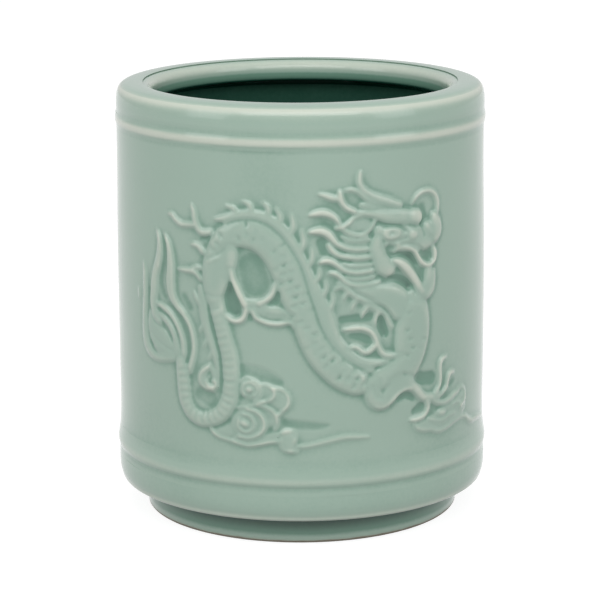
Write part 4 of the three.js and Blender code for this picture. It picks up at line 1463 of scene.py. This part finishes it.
    def leaf_sizes(self) -> np.ndarray:
        """Says how large a face each cell of the wall may lie in.

        Returns:
            The largest size for each cell, in cells.
        """
        most = np.full((self.rows, self.columns), self.block)
        raised = (np.abs(self.clay.height) > self.flat).astype(float)
        for reach, size in self.near_sizes:
            most[softened(raised, reach * self.step / 2, self.step)[:-1] > 0.002] = size
        relief = self.kind > 0
        border = np.zeros(relief.shape, bool)
        for dj in (-1, 0, 1):
            for di in (-1, 0, 1):
                border |= np.roll(relief, (dj, di), (0, 1)) != relief
        deep = self.inner(relief.astype(int))
        buried = deep[:-1] & deep[1:]
        buried &= np.roll(buried, -1, axis=1)
        edge = softened(border.astype(float), self.step, self.step) > 0.01
        most[buried & ~edge] = self.buried_size
        close, wide = (softened(self.clay.height, spread, self.step) for spread in (0.3, 0.6))
        curved = np.abs(close - wide)[:-1] * ~buried
        most[curved > self.bent] = np.minimum(most, 2)[curved > self.bent]
        most[(curved > self.sharp) | border] = 1
        coved = (self.up < self.foot + self.lower_cove) | (self.up > self.top - self.upper_cove)
        most[coved[:-1]] = np.minimum(most, self.cove_size)[coved[:-1]]
        return most

    def wall_mesh(self) -> tuple[bpy.types.Mesh, np.ndarray]:
        """Makes the wall: its glazed face with a pocket behind each piece of relief, and its bore.

        Returns:
            The flat mesh, and the normal wanted at each point.
        """
        most = self.leaf_sizes()
        taken = np.zeros(most.shape, bool)
        leaves = []
        size = self.block
        while size:
            grouped = most.reshape(self.rows // size, size, self.columns // size, size)
            free = ~taken.reshape(grouped.shape)[:, 0, :, 0]
            fits = free & (grouped.min(axis=(1, 3)) >= size)
            j, i = np.nonzero(fits)
            leaves.append((size, j * size, i * size))
            taken |= np.kron(fits, np.ones((size, size), bool))
            size //= 2
        used = np.zeros((self.rows + 1) * self.columns, bool)
        for size, j, i in leaves:
            used[self.corners(j, i, size).ravel()] = True
        quads, fans = [], []
        grid = used.reshape(self.rows + 1, self.columns)
        for size, j, i in leaves:
            if size == 1:
                quads.append(self.corners(j, i))
            else:
                self.fan(grid, size, j, i, quads, fans)
        fans = np.array(fans)
        used[np.unique(fans[:, 2])] = True
        return self.shell(used, np.vstack(quads), fans)

    def fan(self, grid: np.ndarray, size: int, rows: np.ndarray, columns: np.ndarray,
            quads: list[np.ndarray], fans: list[tuple[int, int, int]]) -> None:
        """Faces the larger cells: whole where nothing touches their sides, and else fanned.

        Args:
            grid: the grid points in use.
            size: the cells' size.
            rows: their lower rows.
            columns: their left columns.
            quads: the list that whole cells go to.
            fans: the list that fanned triangles go to.
        """
        whole = []
        count = self.columns
        for j, i in zip(rows.tolist(), columns.tolist()):
            steps = np.arange(size)
            rim = np.concatenate([
                j * count + i + steps, (j + steps) * count + (i + size) % count,
                (j + size) * count + (i + size - steps) % count, (j + size - steps) * count + i])
            rim = rim[grid.ravel()[rim]]
            if len(rim) == 4:
                whole.append(rim)
                continue
            centre = (j + size // 2) * count + i + size // 2
            fans.extend(zip(rim.tolist(), np.roll(rim, -1).tolist(), [centre] * len(rim)))
        if whole:
            quads.append(np.array(whole))

    def shell(self, used: np.ndarray, quads: np.ndarray, fans: np.ndarray
              ) -> tuple[bpy.types.Mesh, np.ndarray]:
        """Closes the wall's outside with its bore.

        Args:
            used: the grid points in use.
            quads: four-sided faces by grid point.
            fans: three-sided faces by grid point.

        Returns:
            The flat mesh, and the normal wanted at each point.
        """
        numbers = np.flatnonzero(used)
        order = np.full(len(used), -1)
        order[numbers] = np.arange(len(numbers))
        buried = self.inner((self.kind > 0).astype(int)).ravel()[numbers]
        ground = self.outline(self.u.ravel()[numbers]) - self.radius
        height = np.where(buried, ground - self.pocket, self.height.ravel()[numbers])
        outside = self.points(numbers, height)
        low = np.flatnonzero(used[: self.columns])
        levels = np.linspace(self.foot, self.top, self.bore_rows)
        depth = self.radius - self.bore
        inside = np.array([(self.along[c], depth, z) for z in levels for c in low]) * MM
        ring = len(numbers) + np.arange(len(inside)).reshape(self.bore_rows, len(low))
        after = np.roll(ring, -1, axis=1)
        bore = np.stack([ring[:-1], ring[1:], after[1:], after[:-1]], axis=-1).reshape(-1, 4)
        foot = np.column_stack([order[low], ring[0], after[0], np.roll(order[low], -1)])
        high = order[low + self.rows * self.columns]
        top = np.column_stack([high, np.roll(high, -1), after[-1], ring[-1]])
        inward = np.array([(-math.sin(self.along[c] / self.radius), math.cos(self.along[c] / self.radius), 0)
                           for c in low] * self.bore_rows)
        normal = np.vstack([self.normal.reshape(-1, 3)[numbers], inward])
        # The bore's points get the painted shade depth.
        pool = np.concatenate([self.pool.ravel()[numbers], np.full(len(inside), self.bore_shade)])
        faces = [np.vstack([order[quads], bore, foot, top]), order[fans]]
        return plain_mesh("wall", np.vstack([outside, inside]), faces, pool), normal

    def build(self, tree: WrappingTree, glaze: bpy.types.Material, relief: bpy.types.Material) -> None:
        """Rolls the wall and each piece of relief into place and dresses them.

        Args:
            tree: the tree that rolls a flat mesh round the pot.
            glaze: the wall's finish.
            relief: the relief's finish.
        """
        for name in self.clay.names:
            flat, normal = self.wall_mesh() if name == "wall" else self.relief_mesh(name)
            finish, slot = (glaze, Slot.GLAZE) if name == "wall" else (relief, Slot.RELIEF)
            mesh = tree.run(flat, finish, Radius=self.radius * MM)
            mesh.normals_split_custom_set_from_vertices(normal)
            settle(mesh, name)


def smooth_through(knots: Sequence[tuple[float, float]]) -> Callable[[np.ndarray], np.ndarray]:
    """Makes a smooth curve through knots of (height, radius).

    Args:
        knots: the knots, lowest first.

    Returns:
        A function from heights to radii.
    """
    z, r = np.array(knots).T
    slope = np.gradient(r, z)

    def radius(heights: np.ndarray) -> np.ndarray:
        """The radius at each height."""
        k = np.clip(np.searchsorted(z, heights) - 1, 0, len(z) - 2)
        span = z[k + 1] - z[k]
        t = np.clip((heights - z[k]) / span, 0, 1)
        return ((2 * t**3 - 3 * t**2 + 1) * r[k] + (t**3 - 2 * t**2 + t) * span * slope[k]
                + (3 * t**2 - 2 * t**3) * r[k + 1] + (t**3 - t**2) * span * slope[k + 1])

    return radius


def arc(centre: tuple[float, float], radius: float, start: float, end: float, steps: int = 10
        ) -> list[tuple[float, float]]:
    """Points of a round edge in a profile.

    Args:
        centre: its centre as (radius, height) in mm.
        radius: its own radius in mm.
        start: first angle in degrees, from outwards towards up.
        end: last angle.
        steps: how many steps it takes.

    Returns:
        The points as (radius, height).
    """
    return [
        (centre[0] + radius * math.cos(math.radians(a)), centre[1] + radius * math.sin(math.radians(a)))
        for a in np.linspace(start, end, steps + 1)
    ]


@dataclass
class Ring:
    """A turned ring of the pot, swept round from its profile."""

    node: str
    slot: Slot
    profile: list[tuple[float, float]]
    pool: Callable[[np.ndarray], np.ndarray]
    sides: int = 288
    closed: bool = True
    crease: float = 50.0

    def build(self, tree: TurningTree, finish: bpy.types.Material) -> None:
        """Turns the ring and dresses it.

        Args:
            tree: the tree that sweeps a profile.
            finish: the ring's finish.
        """
        outline = np.array(self.profile + self.profile[:1] * self.closed)
        points = np.column_stack([outline[:, 0], np.zeros(len(outline)), outline[:, 1]]) * MM
        mesh = bpy.data.meshes.new(self.node)
        mesh.from_pydata(points.tolist(), [(i, i + 1) for i in range(len(points) - 1)], [])
        mesh.attributes.new(POOL_AND_SHADE, "FLOAT", "POINT").data.foreach_set("value", self.pool(outline))
        turned = tree.run(mesh, finish, Sides=self.sides, Points=len(points))
        turned.polygons.foreach_set("use_smooth", np.ones(len(turned.polygons), bool))
        turned.set_sharp_from_angle(angle=math.radians(self.crease))
        settle(turned, self.node)


@dataclass
class ThrownPot:
    """The turned parts of the pot, from the foot to the rim."""

    top: float
    wall_radius: float = 49.5
    bore: float = 44.0
    foot_height: float = 7.0
    foot_radius: float = 42.5
    foot_inner: float = 37.3
    floor_top: float = 12.5
    wall_foot: float = 15.2
    collar_foot: float = 108.4
    lip_radius: float = 39.4
    lip_underside: float = 110.0
    pool_share: float = 1.2
    inner_rounding: float = 2.5
    bead_seat: float = 48.6
    crests: tuple[tuple[float, float], ...] = ((19.2, 0.04), (106.8, 0.24))
    band_edge: tuple[tuple[float, float], float] = ((49.2, 9), 1.1)
    rim_outer_edge: tuple[tuple[float, float], float] = ((48.3, 114.9), 1.1)
    rim_inner_edge: tuple[tuple[float, float], float] = ((40.2, 114.5), 1.6)
    floor_pool: float = 0.75
    finger_rings: float = 0.05

    def __post_init__(self) -> None:
        """Draws the outside, lowest point first, as one curve that the pieces share."""
        self.outline = smooth_through((
            (8.4, 49.0), (9.2, 49.36), (10.2, 49.68), (11.4, 49.88), (12.8, 49.95), (15.2, 49.9),
            (16.8, 49.84), (17.4, 49.86), (17.9, 50.04), (18.5, 50.17), (19.3, 50.17), (20.4, 50.02),
            (21.6, 49.82), (23.2, 49.63), (25.4, 49.53), (40, 49.52), (78, 49.45), (92, 49.2),
            (103.4, 49.14), (104.6, 49.14), (105.3, 49.22), (106, 49.42), (106.8, 49.5), (107.6, 49.42),
            (108.2, 49.26), (109, 49.18), (110.4, 49.22), (111.6, 49.18)))

    def stretch(self, low: float, high: float, steps: int) -> list[tuple[float, float]]:
        """Points of the outside between two heights.

        Args:
            low: the lower height.
            high: the upper height.
            steps: how many steps it takes.

        Returns:
            The points as (radius, height), lowest first.
        """
        heights = np.linspace(low, high, steps + 1)
        return list(zip(self.outline(heights).tolist(), heights.tolist()))

    def pool_outside(self, points: np.ndarray) -> np.ndarray:
        """How deep the glaze lies on the outside: thin on the beads and deep in the grooves.

        Args:
            points: places as (radius, height).

        Returns:
            The depth at each.
        """
        reach = np.linspace(-2.4, 2.4, 13)
        around = self.outline(points[:, 1][:, None] + reach)
        weight = np.exp(-0.5 * (reach / 1.1) ** 2)
        drawn = self.pool_share * ((around @ weight) / weight.sum() - self.outline(points[:, 1]))
        gathered = 0.03 * np.exp(-(((points[:, 1] - 24) / 3) ** 2))
        thinned = [by * np.exp(-(((points[:, 1] - crest) / 1.1) ** 2)) for crest, by in self.crests]
        return drawn + gathered - sum(thinned)

    def band_pool_and_shade(self, points: np.ndarray) -> np.ndarray:
        """How deep the glaze lies on the base band: thin on its lower edge, with painted shade laid as depth
        beneath it.

        Args:
            points: places as (radius, height).

        Returns:
            The depth at each.
        """
        # Painted shade on the underside of the band, below its lower edge.
        beneath = np.clip((8.3 - points[:, 1]) / 0.5, 0, 1)
        return 0.04 - 0.26 * self.near(points, *self.band_edge) + 0.8 * beneath

    def rings(self) -> list[Ring]:
        """Lists the turned pieces.

        Returns:
            The rings, lowest first.
        """
        inside, seat = self.bore, self.bead_seat
        beads = [
            Ring("base_band", Slot.GLAZE, [
                *self.stretch(9.2, self.wall_foot, 18), (inside, self.wall_foot), (inside, self.foot_height),
                (45, self.foot_height), (47.4, 7.8), *arc((48.36, 9.2), 1.0, -108, -8, 8)], self.band_pool_and_shade),
            Ring("lower_bead", Slot.GLAZE, [
                *self.stretch(16.8, 23.4, 26), (seat, 23), (seat, 17.2)], self.pool_outside),
            Ring("upper_bead", Slot.GLAZE, [
                *self.stretch(104.6, 108.2, 18), (seat, 107.8), (seat, 105)], self.pool_outside),
        ]
        return [self.foot_ring(), self.floor_disc(), *beads, self.rim_collar()]

    def foot_ring(self) -> Ring:
        """Draws the foot, a little narrower at the bottom, with its edges wiped round.

        Returns:
            The ring.
        """
        outer, inner, height = self.foot_radius, self.foot_inner, self.foot_height
        profile = [
            *arc((outer - 0.9, 0.9), 0.7, -90, 0, 6), (outer - 0.1, 3), (outer, 5.4),
            (outer + 0.2, height - 0.1), (inner - 0.2, height - 0.1), (inner, 5.4), (inner + 0.1, 2),
            *arc((inner + 0.8, 0.7), 0.7, 180, 270, 6)]
        profile = [(r, max(z, 0.0)) for r, z in profile]
        lowest = min(z for _, z in profile)
        profile = [(r, z - lowest) for r, z in profile]
        # The depth rises up the foot: partly pooled glaze, partly painted shade under the overhang of the
        # base band.
        return Ring("foot_ring", Slot.FOOT, profile,
                    lambda p: np.interp(p[:, 1], (0, 1.4, 2.6, 4.2, height), (-0.25, -0.12, 0.15, 0.5, 0.8)))

    def floor_disc(self) -> Ring:
        """Draws the floor, with the slight rings that the potter's fingers left.

        Returns:
            The ring, open at the axis.
        """
        edge, rings = self.bore - 0.3, self.finger_rings
        inward = np.linspace(edge - 0.6, 0, 44)
        upper = [(r, self.floor_top - 0.35 + 0.35 * r / edge + rings * math.sin(r * 1.1)) for r in inward]
        outward = np.linspace(0, edge, 30)
        lower = [
            (r, self.foot_height + 0.25 - 0.25 * r / edge + 0.8 * rings * math.sin(r * 1.3)) for r in outward]
        lower[-1] = (edge, self.foot_height + 0.6)
        profile = [*lower, (edge, self.floor_top - 0.4), *upper]
        return Ring(
            "floor_disc", Slot.GLAZE, profile, lambda p: np.full(len(p), self.floor_pool), closed=False)

    def rim_collar(self) -> Ring:
        """Draws the rim, rolled over into a lip that reaches inwards over the bore.

        Returns:
            The ring.
        """
        inner = self.inner_rounding
        run, across, up = zip(
            (0, 49.18, 111.6), (1.1, 49.08, 112.7), (2.3, 48.86, 113.8), (3.4, 48.42, 114.75),
            (4.4, 47.7, 115.4), (5.6, 46.6, 115.82), (7, 45.2, 116.02), (8.6, 43.6, self.top))
        steps = np.linspace(0, run[-1], 30)
        shoulder = [smooth_through(tuple(zip(run, values)))(steps).tolist() for values in (across, up)]
        profile = [
            *self.stretch(self.collar_foot, 111.4, 8),
            *zip(*shoulder),
            (42.8, 116.08), (42, 115.98), *arc((self.lip_radius + inner, 113.2), inner, 80, 180, 14),
            *arc((self.lip_radius + 0.9, self.lip_underside + 0.9), 0.9, 180, 270, 6),
            (self.bore - 1.8, self.lip_underside + 0.1), (self.bore - 0.5, self.lip_underside - 0.5),
            (self.bore, self.collar_foot)]
        return Ring("rim_collar", Slot.GLAZE, profile, self.rim_pool_and_shade)

    def rim_pool_and_shade(self, points: np.ndarray) -> np.ndarray:
        """How deep the glaze lies on the rim: thin on its round edges, with painted shade laid as depth under
        the lip.

        Args:
            points: places as (radius, height).

        Returns:
            The depth at each.
        """
        r, z = points.T
        outer_edge, inner_edge = (
            self.near(points, place, reach) for place, reach in (self.rim_outer_edge, self.rim_inner_edge))
        drawn = np.clip((z - 109.5) / 5.2, 0, 1) ** 1.5 * (r > 48)
        depth = self.pool_outside(points) * (r > 48.9) - 0.13 * drawn - 0.24 * outer_edge - 0.28 * inner_edge
        # Painted shade: the underside of the lip and the bore below it are made deep so that they read dark.
        under = np.clip((111.8 - z) / 1.6, 0, 1) * (r < 47)
        return depth + under

    @staticmethod
    def near(points: np.ndarray, place: tuple[float, float], reach: float) -> np.ndarray:
        """How near points are to a place, 1 at it and falling away over its reach.

        Args:
            points: places as (radius, height).
            place: the place as (radius, height).
            reach: how far it is felt.

        Returns:
            The nearness of each point.
        """
        r, z = points.T
        return np.exp(-(np.hypot(r - place[0], z - place[1]) / reach) ** 2)


@dataclass(frozen=True)
class Softbox:
    """A large soft light."""

    name: str
    place: tuple[float, float, float]
    width: float
    height: float
    watts: float
    target: tuple[float, float, float] = (0, 0, 0.06)

    def build(self) -> None:
        """Hangs the light and turns it to its target."""
        data = bpy.data.lights.new(self.name, "AREA")
        data.shape = "RECTANGLE"
        data.size, data.size_y, data.energy = self.width, self.height, self.watts
        lamp = bpy.data.objects.new(self.name, data)
        bpy.context.scene.collection.objects.link(lamp)
        lamp.location = self.place
        lamp.rotation_euler = (Vector(self.target) - lamp.location).to_track_quat("-Z", "Y").to_euler()


@dataclass
class Studio:
    """A plain pale floor, soft lights and the camera."""

    camera_distance: float = 0.68307
    camera_pitch: float = 13.05
    camera_roll: float = -0.26
    aim_height: float = 0.05557
    lens: float = 150.55
    shift: tuple[float, float] = (-0.0019, -0.0004)
    sky: float = 0.56
    mirrored: float = 0.74
    backdrop: float = 1.0
    floor_glow: float = 0.86
    floor_half: float = 3.0
    floor_shade: float = 0.28
    floor_roughness: float = 0.9
    sensor: float = 36.0
    lights: tuple[Softbox, ...] = (
        Softbox("front", (0.0, -0.95, 0.85), 1.6, 0.6, 6.8),
        Softbox("left", (-1.0, -0.6, 0.5), 0.6, 0.8, 2.4),
        Softbox("right", (1.0, -0.6, 0.5), 0.6, 0.8, 2.4),
    )

    def build(self) -> None:
        """Sets the studio up."""
        self.floor()
        self.world()
        for light in self.lights:
            light.build()
        self.camera()
        bpy.context.scene.view_settings.view_transform = "Standard"

    def floor(self) -> None:
        """Lays the floor under the pot."""
        mesh = bpy.data.meshes.new("floor")
        half = self.floor_half
        corners = [(-half, -half, 0), (half, -half, 0), (half, half, 0), (-half, half, 0)]
        mesh.from_pydata(corners, [], [(0, 1, 2, 3)])
        floor = bpy.data.objects.new("floor", mesh)
        bpy.context.scene.collection.objects.link(floor)
        pale = bpy.data.materials.new("pale_floor")
        pale.use_nodes = True
        w = Wiring(pale.node_tree)
        shader = pale.node_tree.nodes["Principled BSDF"]
        path = w.add("ShaderNodeLightPath").outputs
        seen = w.math("MAXIMUM", path["Is Camera Ray"], path["Is Glossy Ray"])
        shader.inputs["Base Color"].default_value = (*[self.floor_shade] * 3, 1)
        shader.inputs["Roughness"].default_value = self.floor_roughness
        shader.inputs["Emission Color"].default_value = (1, 1, 1, 1)
        glow = w.math("MULTIPLY", seen, self.floor_glow)
        pale.node_tree.links.new(glow, shader.inputs["Emission Strength"])
        mesh.materials.append(pale)

    def world(self) -> None:
        """Makes the sky plain white to look at, and dimmer as a light."""
        world = bpy.data.worlds.new("studio")
        bpy.context.scene.world = world
        world.use_nodes = True
        w = Wiring(world.node_tree)
        background = world.node_tree.nodes["Background"]
        path = w.add("ShaderNodeLightPath").outputs
        light = w.remap(path["Is Glossy Ray"], To_Min=self.sky, To_Max=self.mirrored)
        strength = w.remap(path["Is Camera Ray"], To_Min=light, To_Max=self.backdrop)
        background.inputs["Color"].default_value = (1, 1, 1, 1)
        world.node_tree.links.new(strength, background.inputs["Strength"])

    def camera(self) -> None:
        """Sets the camera up, looking slightly down at the front."""
        data = bpy.data.cameras.new("camera")
        data.lens, data.sensor_width = self.lens, self.sensor
        data.shift_x, data.shift_y = self.shift
        camera = bpy.data.objects.new("camera", data)
        bpy.context.scene.collection.objects.link(camera)
        pitch = math.radians(self.camera_pitch)
        aim = Vector((0, 0, self.aim_height))
        camera.location = aim + self.camera_distance * Vector((0, -math.cos(pitch), math.sin(pitch)))
        look = (aim - camera.location).to_track_quat("-Z", "Y").to_matrix()
        camera.rotation_euler = (look @ Matrix.Rotation(math.radians(self.camera_roll), 3, "Z")).to_euler()
        bpy.context.scene.camera = camera


def main() -> None:
    """Builds the pot, dresses it and sets the studio up round it."""
    logging.basicConfig(level=logging.INFO, format="%(message)s")
    glaze = CeladonGlaze().material(Slot.GLAZE.value)
    relief = CeladonGlaze().material(Slot.RELIEF.value)
    foot = FootFinish().material(Slot.FOOT.value)
    finishes = {Slot.GLAZE: glaze, Slot.RELIEF: relief, Slot.FOOT: foot}
    pot = ThrownPot(top=CAD_BOX[1].z / MM)
    turning = TurningTree()
    for ring in pot.rings():
        ring.build(turning, finishes[ring.slot])
    panel = WallPanel(
        pot.wall_radius, pot.bore, pot.wall_foot, pot.collar_foot, pot.outline, pot.pool_outside)
    Dragon(panel.clay, MarkingTree()).model()
    panel.survey()
    panel.build(WrappingTree(), glaze, relief)
    Studio().build()


if __name__ == "__main__":
    main()
